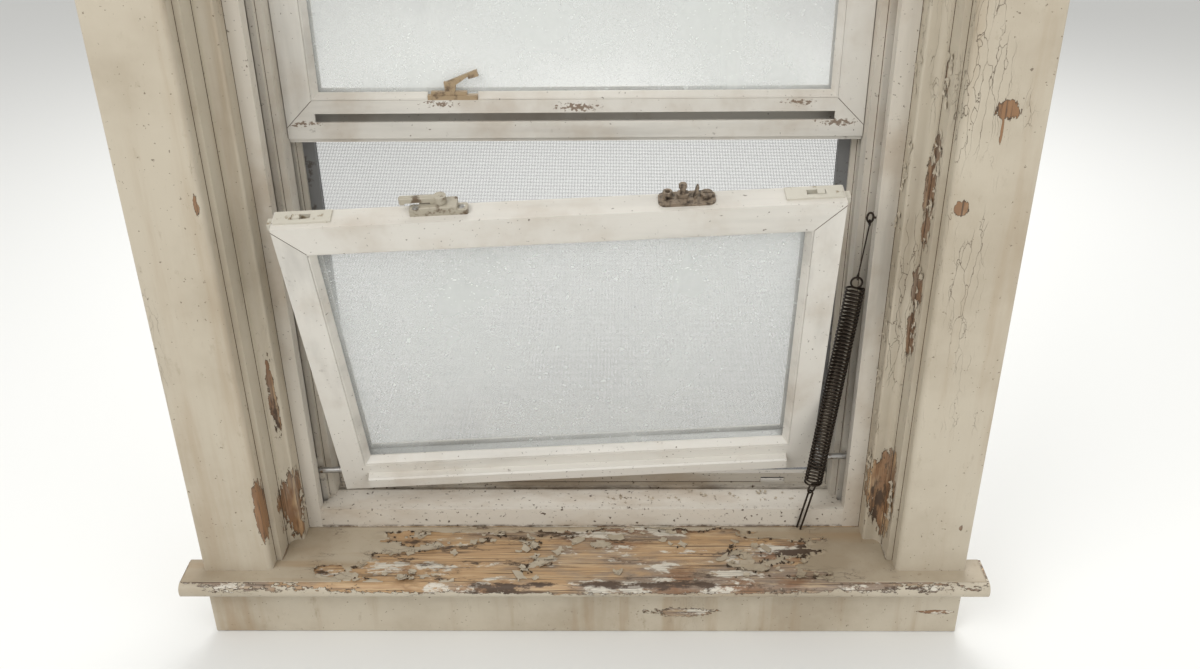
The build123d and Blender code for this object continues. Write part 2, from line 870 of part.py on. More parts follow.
def pivot_bar_right():
    """Bent bar: a square stub in the stile, a crank plate and a pin on the hinge axis."""
    root = hung_point(lower_width / 2, lower_depth / 2, pivot_inset)
    half = stub_size / 2
    middle = lower_depth / 2
    stub = hang * box(lower_width / 2 - stub_length, lower_width / 2 + crank_gap,
                      middle - half, middle + half, pivot_inset - half, pivot_inset + half)
    x = root.X + crank_gap
    near = axis_point(x)
    z = (near[2] + root.Z) / 2
    plate = box(x - crank_thickness / 2, x + crank_thickness / 2,
                near[1] - crank_height / 2, root.Y + half, z - crank_height / 2,
                z + crank_height / 2)
    pin = rod(near, axis_point(unit_centre + pocket_face + pivot_engagement), pivot_radius)
    return stub + plate + pin


def shoe(side):
    x0, x1 = sorted((unit_centre + side * (pocket_face + shoe_clearance),
                     unit_centre + side * (unit_half - unit_wall - shoe_clearance)))
    z = axis_point((x0 + x1) / 2)[2]
    y = unit_front + (pocket_start + pocket_end) / 2
    block = box(x0, x1, y - shoe_depth / 2, y + shoe_depth / 2,
                z - shoe_height / 2, z + shoe_height / 2)
    mouth = axis_point(unit_centre + side * (pocket_face - 1))
    seat = axis_point(unit_centre + side * (pocket_face + pivot_engagement + 1))
    return block - rod(mouth, seat, pivot_radius + pivot_clearance)


def shoe_top(side):
    x = unit_centre + side * (pocket_face + unit_half - unit_wall) / 2
    return axis_point(x)[2] + shoe_height / 2


write("pivot_bar_left", pivot_bar_left())
write("pivot_bar_right", pivot_bar_right())
write("shoe_left", shoe(-1))
write("shoe_right", shoe(1))
write("lower_balance_rods", *[balance_rod(side, lower_line, shoe_top(side), lower_rod_length)
                              for side in (-1, 1)])
lower_tube_bottom = shoe_top(1) + lower_lift + tube_margin


# Tilt latches
def latch_housing(side):
    x = latch_place(side)
    plate = box(x - latch_length / 2, x + latch_length / 2, latch_front,
                latch_front + latch_width, lower_height, lower_height + latch_plate)
    body = latch_pocket(side, 0)
    tool = bolt_space(side, bolt_clearance)
    middle = latch_front + latch_width / 2
    slot_x = x + side * thumb_slot_offset
    slot = box(slot_x - thumb_slot_length / 2, slot_x + thumb_slot_length / 2,
               middle - thumb_slot_width / 2, middle + thumb_slot_width / 2,
               lower_height - thumb_slot_depth, lower_height + latch_plate + 1)
    return plate + body - tool - slot


def latch_bolt(side):
    x = latch_place(side) + side * thumb_slot_offset
    middle = latch_front + latch_width / 2
    outer = x + side * (thumb_slot_length / 2 - 1)
    x0, x1 = sorted((outer, outer - side * thumb_length))
    half = thumb_slot_width / 2 - bolt_clearance
    thumb = box(x0, x1, middle - half, middle + half, lower_height - thumb_foot,
                lower_height + latch_plate + thumb_rise)
    return bolt_space(side, 0) + thumb


for side, name in ((-1, "left"), (1, "right")):
    write("latch_housing_" + name, hang * latch_housing(side))
    write("latch_bolt_" + name, hang * latch_bolt(side))


# Left sash lock
def lock_lugs():
    reach = lock_length / 2 - lug_size / 2
    return [(lock_centre + s * reach, lock_front + lug_size / 2) for s in (-1, 1)]


def left_lock_base():
    z = lower_height
    body = box(lock_centre - lock_body_length / 2, lock_centre + lock_body_length / 2,
               lock_front, lock_front + lock_body_depth, z, z + lock_body_height)
    body = fillet(body.edges().filter_by(Axis.Z), lock_edge_radius)
    body = fillet(body.edges().group_by(Axis.Z)[-1], lever_edge_radius)
    for x, y in lock_lugs():
        lug = box(x - lug_size / 2, x + lug_size / 2, y - lug_size / 2, y + lug_size / 2,
                  z, z + lug_height)
        body += fillet(lug.edges().filter_by(Axis.Z), lock_edge_radius)
    for x, y in lock_lugs():
        body -= Pos(x, y, z + lug_height / 2) * Cylinder(lug_hole_radius, lug_height + 2)
    hub_x, hub_y = lever_pivot()
    socket = lever_pin_radius + lever_gap
    depth = lever_pin_length + lever_gap
    return body - Pos(hub_x, hub_y, z + lock_body_height - depth / 2) * Cylinder(socket, depth)


def lever_pivot():
    return lock_centre + lever_hub_offset, lock_front + lock_body_depth / 2


def left_lock_lever():
    x, y = lever_pivot()
    low = lower_height + lock_body_height + lever_gap
    hub = Pos(x, y, low + lever_height / 2) * Cylinder(lever_hub_radius, lever_height)
    arm = box(x - lever_length, x, y - lever_width / 2, y + lever_width / 2,
              low, low + lever_height)
    arm = fillet(arm.edges().filter_by(Axis.Z).group_by(Axis.X)[0], lever_end_radius)
    arm = fillet(arm.edges().filter_by(Axis.X).group_by(Axis.Z)[-1], lever_edge_radius)
    hollow = box(x - lever_length + 6, x - lever_hub_radius - 4, y - lever_width, y + lever_width,
                 low - 1, low + 2)
    pin = Pos(x, y, low - lever_pin_length / 2) * Cylinder(lever_pin_radius, lever_pin_length)
    return hub + arm - hollow + pin


def lock_screw(x, y):
    seat = lower_height + lug_height
    profile = [(0, seat + 1.6), (lock_screw_head, seat), (lock_screw_radius, seat),
               (lock_screw_radius, lower_height + 0.2), (0, lower_height + 0.2)]
    return Pos(x, y, 0) * turned(profile)


write("left_lock_base", hang * left_lock_base())
write("left_lock_lever", hang * left_lock_lever())
write("left_lock_screws", *[hang * lock_screw(x, y) for x, y in lock_lugs()])


# Wrecked right lock: a corroded base with a loose boss, a bare post and bent tabs
def wrecked_lock_base():
    z = lower_height
    plate = box(wreck_centre - wreck_length / 2, wreck_centre + wreck_length / 2,
                wreck_front, wreck_front + wreck_depth, z, z + wreck_plate)
    plate = fillet(plate.edges().filter_by(Axis.Z), wreck_depth / 3)
    boss_x = wreck_centre - wreck_length / 2 + wreck_boss_inset
    boss_y = wreck_front + wreck_row
    top = z + wreck_plate
    boss = Pos(boss_x, boss_y, top + wreck_boss_height / 2) * Cylinder(
        wreck_boss_radius, wreck_boss_height)
    hole = Pos(boss_x, boss_y, top + wreck_boss_height / 2 + 1) * Cylinder(
        wreck_boss_hole, wreck_boss_height)
    lug_x = wreck_centre + wreck_length / 2 - wreck_lug_inset
    lug = Pos(lug_x, boss_y, top + wreck_lug_height / 2) * Cylinder(
        wreck_boss_radius + 1.5, wreck_lug_height)
    slot = box(lug_x - 4, lug_x + 4, boss_y - 1, boss_y + 1, top + 1, top + 5)
    return plate + boss - hole + (lug - slot)


def wrecked_lock_post():
    z = lower_height + wreck_plate
    y = wreck_front + wreck_row
    x = wreck_centre + wreck_post_offset
    post = Pos(x, y, z + wreck_post_height / 2) * Cylinder(
        wreck_post_radius * 0.72, wreck_post_height)
    cap = Pos(x, y, z + wreck_post_height - wreck_post_cap / 2) * Cylinder(
        wreck_post_radius, wreck_post_cap)
    collar = Pos(x, y, z + 2.5) * Cylinder(wreck_post_radius + 2.2, 5.0)
    return post + fillet(cap.edges().sort_by(Axis.Z)[-1], 1.5) + collar


def wrecked_lock_tabs():
    z = lower_height + wreck_plate
    y = wreck_front + 3.0
    low = box(-wreck_tab_length / 2, wreck_tab_length / 2, -wreck_tab_width / 2,
              wreck_tab_width / 2, 0, wreck_tab_thickness)
    flat = Pos(wreck_centre - 13, y + 1, z + 0.1) * low
    upright = box(-wreck_tab_thickness / 2, wreck_tab_thickness / 2, 0, wreck_tab_width,
                  0, wreck_tab_length * 0.6)
    leaning = Pos(wreck_centre + 8, y + 6, z + 0.5) * Rot(0, 14, 0) * upright
    return flat, leaning


write("wrecked_lock_base", hang * wrecked_lock_base())
write("wrecked_lock_post", hang * wrecked_lock_post())
write("wrecked_lock_tabs", *[hang * tab for tab in wrecked_lock_tabs()])


# Upper sash
upper_size = (upper_width, upper_height, upper_depth, upper_stile, upper_top_rail,
              upper_bottom_rail, upper_bead_depth)
up = Pos(unit_centre, upper_front, upper_bottom)


def keeper_box():
    x = keeper_centre - unit_centre
    return box(x - keeper_length / 2, x + keeper_length / 2,
               keeper_inset, keeper_inset + keeper_width,
               upper_bottom_rail, upper_bottom_rail + keeper_height)


def upper_members():
    left, right, top, bottom = sash(*upper_size)
    groove = box(-pull_groove_length / 2, pull_groove_length / 2, -1, pull_groove_depth,
                 pull_groove_low, pull_groove_low + pull_groove_height)
    inset = interlock_setback
    lip = box(-upper_width / 2, upper_width / 2, inset, upper_depth - inset,
              -interlock_height, 0)
    hole = pivot_radius + pivot_clearance
    reach = upper_width / 2
    for side in (-1, 1):
        x0, x1 = sorted((side * (reach + 1), side * (reach - stub_length)))
        drill = rod((x0, upper_line - upper_front, pivot_inset),
                    (x1, upper_line - upper_front, pivot_inset), hole)
        bottom -= drill
        left -= drill
        right -= drill
    return left, right, top, bottom - groove + lip


upper_left, upper_right, upper_high, upper_low = upper_members()
write("upper_stile_left", up * upper_left)
write("upper_stile_right", up * upper_right)
write("upper_top_rail", up * upper_high)
write("upper_bottom_rail", up * upper_low)
upper_beads = glazing_beads(upper_width, upper_height, upper_stile, upper_top_rail,
                            upper_bottom_rail, upper_bead_depth)
keeper_half = keeper_length / 2 + keeper_gap
notch = box(keeper_centre - unit_centre - keeper_half, keeper_centre - unit_centre + keeper_half,
            -1, upper_depth, upper_bottom_rail - 1, upper_bottom_rail + bead_reach + 3)
write("upper_glazing_beads", *[up * bead for bead in
                               [upper_beads[0] - notch] + list(upper_beads[1:])])
upper_inner, upper_outer, upper_ring = glass(*upper_size)
write("upper_panes", up * upper_inner, up * upper_outer)
write("upper_glass_spacer", up * upper_ring)


def upper_shoe(side):
    """Shoe of the upper sash with its pivot pin, which slides in the rear pocket."""
    rear = upper_track_half + unit_wall
    x0, x1 = sorted((unit_centre + side * (rear + shoe_clearance),
                     unit_centre + side * (unit_half - unit_wall - shoe_clearance)))
    y0 = unit_front + upper_pocket_start + shoe_clearance
    y1 = unit_front + upper_pocket_end - shoe_clearance
    z = upper_bottom + pivot_inset
    block = box(x0, x1, y0, y1, z - upper_shoe_height / 2, z + upper_shoe_height / 2)
    inner = unit_centre + side * (upper_width / 2 - stub_length + 1)
    return block + rod((inner, upper_line, z), ((x0 + x1) / 2, upper_line, z), pivot_radius)


upper_shoe_top = upper_bottom + pivot_inset + upper_shoe_height / 2
upper_rod_length = upper_drop + tube_margin + rod_overlap
write("upper_shoes", upper_shoe(-1), upper_shoe(1))
write("upper_balance_rods", *[balance_rod(side, upper_line, upper_shoe_top, upper_rod_length)
                              for side in (-1, 1)])
write("balance_tubes",
      *[balance_tube(side, lower_line, lower_tube_bottom) for side in (-1, 1)],
      *[balance_tube(side, upper_line, upper_shoe_top + tube_margin) for side in (-1, 1)])


# Broken latch on the upper sash's bottom rail, with its arm bent up
def upper_latch():
    x = keeper_centre - unit_centre
    base = keeper_box()
    z = upper_bottom_rail + keeper_height
    y = keeper_inset
    step = box(x - keeper_step_length / 2 - 4, x + keeper_step_length / 2 - 4,
               y + 1, y + keeper_width - 1, z, z + keeper_step_height)
    return base + step


def upper_latch_arm():
    x = keeper_centre - unit_centre + keeper_step_length / 2 + arm_foot_offset
    z = upper_bottom_rail + keeper_height + keeper_step_height
    foot = [(x - arm_foot_length, z), (x, z), (x + 1, z + arm_foot_height * 0.5),
            (x, z + arm_foot_height), (x - arm_foot_length - 1, z + arm_foot_height)]
    rise = math.tan(math.radians(arm_rise))
    start = z + arm_foot_height - 1
    end = x + arm_length - arm_foot_length
    high = start + (end - x + arm_foot_length) * rise
    bar = [(x - arm_foot_length - 1, start), (end, high), (end + 2, high - arm_thickness - 3),
           (end - arm_tip_length, high - arm_thickness - arm_tip_extra - 3),
           (end - arm_tip_length - 1, high - arm_thickness - 3.5), (x, start - arm_thickness + 1)]
    front, back = -keeper_inset - 1.0, -keeper_inset - 1.0 - arm_depth
    return prism(foot, across_y, back, front) + prism(bar, across_y, back, front)


write("upper_latch_base", up * upper_latch())
write("upper_latch_arm", up * upper_latch_arm())


# Insect screen in the outer track
screen_y = unit_front + (screen_track_start + screen_track_end) / 2
screen_half = screen_track_half - screen_play
screen_low = stool_top + sill_back_height + screen_play
screen_high = stool_top + screen_height


def screen_bars():
    y0, y1 = screen_y - screen_bar_depth / 2, screen_y + screen_bar_depth / 2
    outer = box(-screen_half, screen_half, y0, y1, screen_low, screen_high)
    width = screen_bar_width
    hole = box(-screen_half + width, screen_half - width, y0 - 1, y1 + 1,
               screen_low + width, screen_high - width)
    ring = outer - hole
    bars = []
    for turn_left, turn_low in ((1, 0), (-1, 0), (0, 1), (0, -1)):
        if turn_left:
            x, inner = turn_left * -screen_half, turn_left * -(screen_half - 3 * width)
            slope = [(x, screen_low), (inner, screen_low + 3 * width),
                     (inner, screen_high - 3 * width), (x, screen_high)]
        else:
            z = screen_low if turn_low > 0 else screen_high
            slope = [(-screen_half, z), (screen_half, z),
                     (screen_half - 3 * width, z + turn_low * 3 * width),
                     (-screen_half + 3 * width, z + turn_low * 3 * width)]
        bars.append(Pos(unit_centre, 0, 0) * (ring & prism(slope, across_y, -y1 - 1, -y0 + 1)))
    return bars


def screen_cloth():
    width = screen_bar_width
    return Pos(unit_centre, 0, 0) * box(
        -screen_half + width, screen_half - width, screen_y - screen_cloth_thickness / 2,
        screen_y + screen_cloth_thickness / 2, screen_low + width, screen_high - width)


write("screen_frame", *screen_bars())
write("screen_cloth", screen_cloth())


# Stay spring: its line runs down from the screw eye past the sash to the stool
eye_low = (eye_x, eye_y, eye_z - eye_height / 2)


def pull_line(z):
    """The spring's axis at one height, on the line from the eye through its lower point."""
    share = (eye_low[2] - z) / (eye_low[2] - pull_z)
    return (eye_low[0] + (pull_x - eye_low[0]) * share,
            eye_low[1] + (pull_y - eye_low[1]) * share, z)


def screw_eye():
    """Narrow oval eye, with its shank in the side of the vinyl lip."""
    w, h = eye_width / 2 - eye_wire, eye_height / 2 - eye_wire
    path = Plane(origin=(eye_x, eye_y, eye_z), x_dir=(1, 0, 0), z_dir=(0, -1, 0)) * Ellipse(w, h)
    loop = sweep(Plane(origin=(eye_x + w, eye_y, eye_z), x_dir=(1, 0, 0), z_dir=(0, 0, 1))
                 * Circle(eye_wire), path=path.wire())
    face = unit_centre + lip_half
    return loop + rod((eye_x + w, eye_y, eye_z), (face + eye_shank, eye_y, eye_z), eye_wire)


coil_top = Vector(*pull_line(coil_top_z))
coil_bottom = Vector(*pull_line(coil_bottom_z))
coil_length = (coil_top - coil_bottom).length
coil_place = Plane(origin=coil_bottom, x_dir=(1, 0, 0), z_dir=coil_top - coil_bottom)


def helix_point(turn, lift, radius):
    """A point on the coil by turns from its lower end, raised by a share of one turn."""
    angle = 2 * math.pi * turn
    rise = coil_length * (turn + lift) / (coil_turns + 0.5)
    return coil_place.from_local_coords(
        Vector(radius * math.cos(angle), radius * math.sin(angle), rise))


def wound_body():
    """The wound part as one closed body, with a ridge that winds round as the wire does."""
    root = coil_radius - coil_wire * 0.75
    count = coil_turns * coil_sides
    ridge = [helix_point(k / coil_sides, 0, coil_radius) for k in range(count + 1)]
    valley = [helix_point(k / coil_sides, 0.5, root) for k in range(-coil_sides, count + 1)]
    faces = []

    def fill(*corners):
        faces.append(Face(Wire.make_polygon(corners, close=True)))

    def strip(low, high):
        for k in range(count):
            fill(low[k], low[k + 1], high[k + 1])
            fill(low[k], high[k + 1], high[k])

    def cap(rim, crest, middle):
        for first, second in zip(rim[:-1], rim[1:]):
            fill(middle, first, second)
        fill(middle, rim[0], rim[-1])
        fill(rim[0], rim[-1], crest)

    strip(ridge, valley[coil_sides:])
    strip(valley[:count + 1], ridge)
    cap(valley[:coil_sides + 1], ridge[0], coil_place.from_local_coords(Vector(0, 0, 0)))
    cap(valley[-coil_sides - 1:], ridge[-1],
        coil_place.from_local_coords(Vector(0, 0, coil_length)))
    return Solid(Shell(faces))


def end_loop(height, outward, turn):
    """A cross bar over the end of the coil, with the hook ring that stands out from it."""
    half = coil_radius - coil_wire / 2
    bar = Rot(0, 0, turn) * rod((-half, 0, height), (half, 0, height), loop_wire)
    ring = Rot(0, 0, turn) * Pos(0, 0, height + outward * loop_radius) * Rot(90, 0, 0) * Torus(
        loop_radius, loop_wire)
    return coil_place * bar + coil_place * ring


def stay_spring():
    bore = coil_place * (Pos(0, 0, coil_length / 2) * Cylinder(coil_bore, coil_length + overrun))
    body = wound_body() - bore
    return body + end_loop(coil_length - 1, 1, 0) + end_loop(1, -1, loop_turn)


def spring_link():
    """Straight wire with a small ring at each end: one in the eye, one in the top loop."""
    hold = link_wire + hook_play
    high = Vector(eye_x, eye_y, eye_z - eye_height / 2 + 2 * eye_wire + hold - link_ring)
    low = coil_length - 1 + 2 * loop_radius - loop_wire - hold + link_ring
    ring = Rot(0, 90, 0) * Torus(link_ring, link_wire)
    upper = Pos(high) * ring
    lower = coil_place * (Pos(0, 0, low) * ring)
    start = coil_place.from_local_coords(Vector(0, 0, low + link_ring))
    return upper + lower + rod(start, high - Vector(0, 0, link_ring), link_wire)


def spring_tail():
    """Hairpin of wire that hangs in the lower loop, with its ends on the stool."""
    loop_low = coil_place.from_local_coords(Vector(0, 0, 1 - 2 * loop_radius))
    foot = Vector(tail_end_x, tail_end_y, stool_top)
    run = (foot - loop_low).normalized()
    turn = math.radians(loop_turn + 90)
    along = coil_place.from_local_coords(Vector(math.cos(turn), math.sin(turn), 0)) - coil_bottom
    aside = (along - run * along.dot(run)).normalized() * tail_half_gap
    top = loop_low - run * (loop_wire + hook_play + tail_wire)
    below = foot + run * 4
    bend = tail_half_gap - 0.1
    pin = wire([below - aside, top - aside, top + aside, below + aside], tail_wire, bend)
    return pin - box(-stool_length, stool_length, -stool_length, stool_length, 0, stool_top)


write("screw_eye", screw_eye())
write("stay_spring", stay_spring())
write("spring_link", spring_link())
write("spring_tail", spring_tail())
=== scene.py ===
import json
import math
import random
from typing import NamedTuple

import bpy
from mathutils import Matrix, Vector, noise


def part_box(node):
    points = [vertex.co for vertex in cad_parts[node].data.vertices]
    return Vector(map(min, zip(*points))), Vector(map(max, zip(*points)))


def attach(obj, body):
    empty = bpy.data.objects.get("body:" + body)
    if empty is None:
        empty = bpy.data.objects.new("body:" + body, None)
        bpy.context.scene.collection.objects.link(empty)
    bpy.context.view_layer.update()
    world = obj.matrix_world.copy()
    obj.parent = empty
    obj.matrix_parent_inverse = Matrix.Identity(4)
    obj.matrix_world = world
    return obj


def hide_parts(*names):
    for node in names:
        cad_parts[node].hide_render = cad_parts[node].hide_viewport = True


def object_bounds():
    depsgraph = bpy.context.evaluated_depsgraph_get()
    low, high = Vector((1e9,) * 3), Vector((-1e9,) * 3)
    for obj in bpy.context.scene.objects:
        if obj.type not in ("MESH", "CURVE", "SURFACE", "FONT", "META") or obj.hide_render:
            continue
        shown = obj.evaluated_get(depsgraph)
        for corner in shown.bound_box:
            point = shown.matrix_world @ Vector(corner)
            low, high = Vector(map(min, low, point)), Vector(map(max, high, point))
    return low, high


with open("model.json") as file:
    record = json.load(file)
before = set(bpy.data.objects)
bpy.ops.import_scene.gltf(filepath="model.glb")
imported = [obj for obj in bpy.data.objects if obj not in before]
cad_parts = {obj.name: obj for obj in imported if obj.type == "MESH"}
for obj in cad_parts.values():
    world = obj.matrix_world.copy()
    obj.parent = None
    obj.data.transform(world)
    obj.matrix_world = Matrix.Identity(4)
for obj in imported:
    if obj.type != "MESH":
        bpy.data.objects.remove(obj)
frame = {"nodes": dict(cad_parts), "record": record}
cad_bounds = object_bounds()
NODES = frame["nodes"]
MM = 0.001
X, Y, Z = 0, 1, 2
UP = Vector((0, 0, 1))

# The photograph's camera in the part's own frame: metres, radians, and millimetres for the sensor
IMAGE_WIDTH = 1200
IMAGE_HEIGHT = 669
FOCAL_PIXELS = 1150.0
SENSOR = 36.0
CLIP_START = 0.01
EYE_PLACE = Vector((0.0451, -1.1199, 1.0051))
PITCH = 0.5071
YAW = -0.0183
ROLL = 0.012
forward = Vector((math.sin(YAW) * math.cos(PITCH), math.cos(YAW) * math.cos(PITCH),
                  -math.sin(PITCH)))
level_right = Vector((math.cos(YAW), -math.sin(YAW), 0.0))
level_down = forward.cross(level_right)
right_way = level_right * math.cos(ROLL) + level_down * math.sin(ROLL)
down_way = level_down * math.cos(ROLL) - level_right * math.sin(ROLL)

# Faces of the model that the wear lies on
stool_low, stool_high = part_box("stool")
stop_right_low, stop_right_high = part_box("stop_right")
stop_left_low, stop_left_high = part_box("stop_left")
unit_sill_low, unit_sill_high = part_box("unit_sill")
STOOL_TOP = stool_high.z
STOOL_FRONT = stool_low.y
SILL_FRONT = unit_sill_low.y
WALL_FACE = 0.0
CASING_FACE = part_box("casing_right")[0].y
RIGHT_STOP_FACE = stop_right_low.x
LEFT_STOP_FACE = stop_left_high.x
STOP_LINE = stop_right_low.y + 4 * MM
JAMB_FACE = stop_right_high.x
UPPER_RAIL_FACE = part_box("upper_bottom_rail")[0].y


def seen_at(pixel, axis, value):
    """The point of a plane (an axis, at a value) that shows at a pixel of the photograph."""
    across = (pixel[0] - IMAGE_WIDTH / 2) / FOCAL_PIXELS
    down = (pixel[1] - IMAGE_HEIGHT / 2) / FOCAL_PIXELS
    ray = forward + right_way * across + down_way * down
    return EYE_PLACE + ray * ((value - EYE_PLACE[axis]) / ray[axis])


# Colours, linear
CREAM = (0.52, 0.46, 0.36)
CREAM_WORN = (0.44, 0.375, 0.28)
CREAM_DARK = (0.30, 0.235, 0.155)
# The two darkest browns below colour real dirt, and also painted shade: the dark ring round peeled
# paint, dark rods in the unit's corners and joints, and dark scraps along the stool's paint edges
GRIME_AND_SHADE = (0.085, 0.055, 0.032)
GRIME_AND_SHADE_BLACK = (0.03, 0.02, 0.012)
BARE_GOLD = (0.44, 0.28, 0.145)
BARE_GREY = (0.27, 0.205, 0.15)
BARE_DARK = (0.075, 0.045, 0.026)
STRAW = (0.62, 0.46, 0.28)
RUST_BROWN = (0.22, 0.105, 0.045)
CHALK = (0.62, 0.57, 0.48)
VINYL = (0.62, 0.57, 0.49)
VINYL_SASH = (0.68, 0.65, 0.59)
TAN_STAIN = (0.34, 0.24, 0.14)
STAIN_BROWN = (0.16, 0.095, 0.05)
GLASS_DUST = (0.80, 0.82, 0.80)
SCREEN_WIRE = (0.10, 0.11, 0.12)
SCREEN_BAR = (0.20, 0.20, 0.20)
SCREEN_BAR_DIRT = (0.10, 0.09, 0.08)
SCREW_GREY = (0.42, 0.41, 0.39)
SCREW_RUST = (0.16, 0.11, 0.07)
SPRING_BROWN = (0.045, 0.033, 0.024)
SPRING_BLACK = (0.020, 0.013, 0.009)
TUBE_WHITE = (0.60, 0.58, 0.52)
LATCH_CREAM = (0.58, 0.55, 0.47)
LATCH_DIRT = (0.30, 0.24, 0.16)
LOCK_CREAM = (0.42, 0.38, 0.30)
LOCK_DIRT = (0.13, 0.09, 0.055)
CORRODED_TAN = (0.28, 0.22, 0.16)
CORRODED_BLACK = (0.035, 0.022, 0.014)
BRONZE_TAN = (0.38, 0.28, 0.17)
BRONZE_DIRT = (0.15, 0.10, 0.06)
SPACER_GREY = (0.45, 0.45, 0.43)
FLOOR_GREY = (0.80, 0.80, 0.78)
WORLD_GREY = (0.86, 0.86, 0.85, 1.0)

# A layer's noise, drawn out alike along x, y and z
EVEN = (1, 1, 1)


class Layer(NamedTuple):
    """Wear drawn by noise: none of it under the noise level low, all of it over the level high."""

    scale: float
    low: float = 0.0
    high: float = 1.0
    strength: float = 1.0
    tone: tuple = GRIME_AND_SHADE
    detail: float = 5.0
    rough: float = 0.6
    stretch: tuple = EVEN
    warp: float = 0.0


# Colour sockets of the mix node: its two inputs and its output
MIX_FIRST = 6
MIX_SECOND = 7
MIX_RESULT = 2


class Look:
    """A material that is put together node by node."""

    def __init__(self, name, colour, roughness, metallic=0.0):
        self.material = bpy.data.materials.new(name)
        self.material.use_nodes = True
        self.tree = self.material.node_tree
        self.tree.nodes.clear()
        self.out = self.new("ShaderNodeOutputMaterial")
        self.shader = self.new("ShaderNodeBsdfPrincipled")
        self.join(self.shader.outputs["BSDF"], self.out.inputs["Surface"])
        self.shader.inputs["Base Color"].default_value = (*colour, 1.0)
        self.shader.inputs["Roughness"].default_value = roughness
        self.shader.inputs["Metallic"].default_value = metallic
        self.place = self.new("ShaderNodeTexCoord").outputs["Object"]
        self.height = None

    def new(self, kind):
        return self.tree.nodes.new(kind)

    def join(self, source, target):
        self.tree.links.new(source, target)

    def put(self, value, target):
        if hasattr(value, "links"):
            self.join(value, target)
        else:
            target.default_value = value

    def stretched(self, scale):
        node = self.new("ShaderNodeMapping")
        node.inputs["Scale"].default_value = scale
        self.join(self.place, node.inputs["Vector"])
        return node.outputs["Vector"]

    def along(self, axis):
        """The place along one axis."""
        node = self.new("ShaderNodeSeparateXYZ")
        self.join(self.place, node.inputs[0])
        return node.outputs[axis]

    def calc(self, kind, first, second=0.0, third=None):
        node = self.new("ShaderNodeMath")
        node.operation = kind
        self.put(first, node.inputs[0])
        self.put(second, node.inputs[1])
        if third is not None:
            self.put(third, node.inputs[2])
        return node.outputs[0]

    def span(self, value, low, high):
        """0 at low and 1 at high, smooth between them and held outside."""
        node = self.new("ShaderNodeMapRange")
        node.interpolation_type = "SMOOTHSTEP"
        node.inputs["From Min"].default_value = low
        node.inputs["From Max"].default_value = high
        self.join(value, node.inputs["Value"])
        return node.outputs["Result"]

    def inside(self, middle, half):
        """1 at the middle of an oval body, 0 on its skin and less than 0 outside it."""
        total = None
        for axis in (X, Y, Z):
            off = self.calc("SUBTRACT", self.along(axis), middle[axis])
            off = self.calc("POWER", self.calc("DIVIDE", off, half[axis]), 2.0)
            total = off if total is None else self.calc("ADD", total, off)
        return self.calc("SUBTRACT", 1.0, self.calc("SQRT", total))

    def noise_node(self, layer, stretch=None):
        node = self.new("ShaderNodeTexNoise")
        node.inputs["Scale"].default_value = layer.scale
        node.inputs["Detail"].default_value = layer.detail
        node.inputs["Roughness"].default_value = layer.rough
        node.inputs["Distortion"].default_value = layer.warp
        self.join(self.stretched(stretch or layer.stretch), node.inputs["Vector"])
        return node

    def level(self, layer, stretch=None, places=()):
        """A layer's noise level, raised inside some oval bodies."""
        value = self.noise_node(layer, stretch).outputs["Fac"]
        for middle, half, amount in places:
            here = self.calc("MAXIMUM", self.inside(middle, half), 0.0)
            value = self.calc("MULTIPLY_ADD", here, amount, value)
        return value

    def share(self, layer, stretch=None, places=()):
        """How fully a layer shows, from 0 to 1."""
        return self.span(self.level(layer, stretch, places), layer.low, layer.high)

    def mix(self, share, first, second):
        node = self.new("ShaderNodeMix")
        node.data_type = "RGBA"
        self.put(share, node.inputs[0])
        for number, colour in ((MIX_FIRST, first), (MIX_SECOND, second)):
            self.put(colour if hasattr(colour, "links") else (*colour, 1.0), node.inputs[number])
        return node.outputs[MIX_RESULT]

    def lay(self, colour, share, strength, tone):
        """A colour with a tone laid over it where share is high."""
        return self.mix(self.calc("MULTIPLY", share, strength), colour, tone)

    def cover(self, colour, layer, amount=1.0, stretch=None, places=()):
        """A colour with a layer laid over it."""
        share = self.share(layer, stretch, places)
        return self.lay(colour, share, layer.strength * amount, layer.tone)

    def raise_by(self, value, amount):
        part = self.calc("MULTIPLY", value, amount)
        self.height = part if self.height is None else self.calc("ADD", self.height, part)

    def emboss(self, layer):
        self.raise_by(self.level(layer), layer.strength)

    def finish(self, colour=None, alpha=None):
        if colour is not None:
            self.put(colour, self.shader.inputs["Base Color"])
        if alpha is not None:
            self.put(alpha, self.shader.inputs["Alpha"])
        if self.height is not None:
            bump = self.new("ShaderNodeBump")
            bump.inputs["Strength"].default_value = 1.0
            bump.inputs["Distance"].default_value = MM
            self.join(self.height, bump.inputs["Height"])
            self.join(bump.outputs["Normal"], self.shader.inputs["Normal"])
        return self.material


# Bare wood, with its grain along a lying board (x) or up a standing one (z)
FINE_GRAIN = {"x": (9, 420, 420), "z": (420, 420, 9)}
COARSE_GRAIN = {"x": (16, 260, 260), "z": (260, 260, 16)}
LONG_PATCHES = {"x": (0.6, 1.6, 1), "z": (1.6, 1.6, 0.5)}
WOOD_GREY = Layer(8.0, 0.44, 0.56, tone=BARE_GREY, rough=0.65)
WOOD_STRAW = Layer(1.0, 0.50, 0.62, 0.45, STRAW, detail=4.0)
WOOD_RUST = {"x": Layer(12.0, 0.50, 0.64, 0.8, RUST_BROWN, rough=0.7),
             "z": Layer(12.0, 0.40, 0.54, 0.8, RUST_BROWN, rough=0.7)}
WOOD_CHALK = Layer(15.0, 0.54, 0.59, tone=CHALK, detail=6.0, rough=0.74)
WOOD_GRAIN = Layer(1.0, 0.52, 0.64, 0.85, BARE_DARK, detail=6.0, warp=0.4)
WOOD_ROT = Layer(20.0, 0.55, 0.63, tone=BARE_DARK, detail=6.0, rough=0.74)
SHIM_GRAIN = Layer(1.0, 0.45, 0.62, tone=BARE_GREY, stretch=(240, 240, 6))


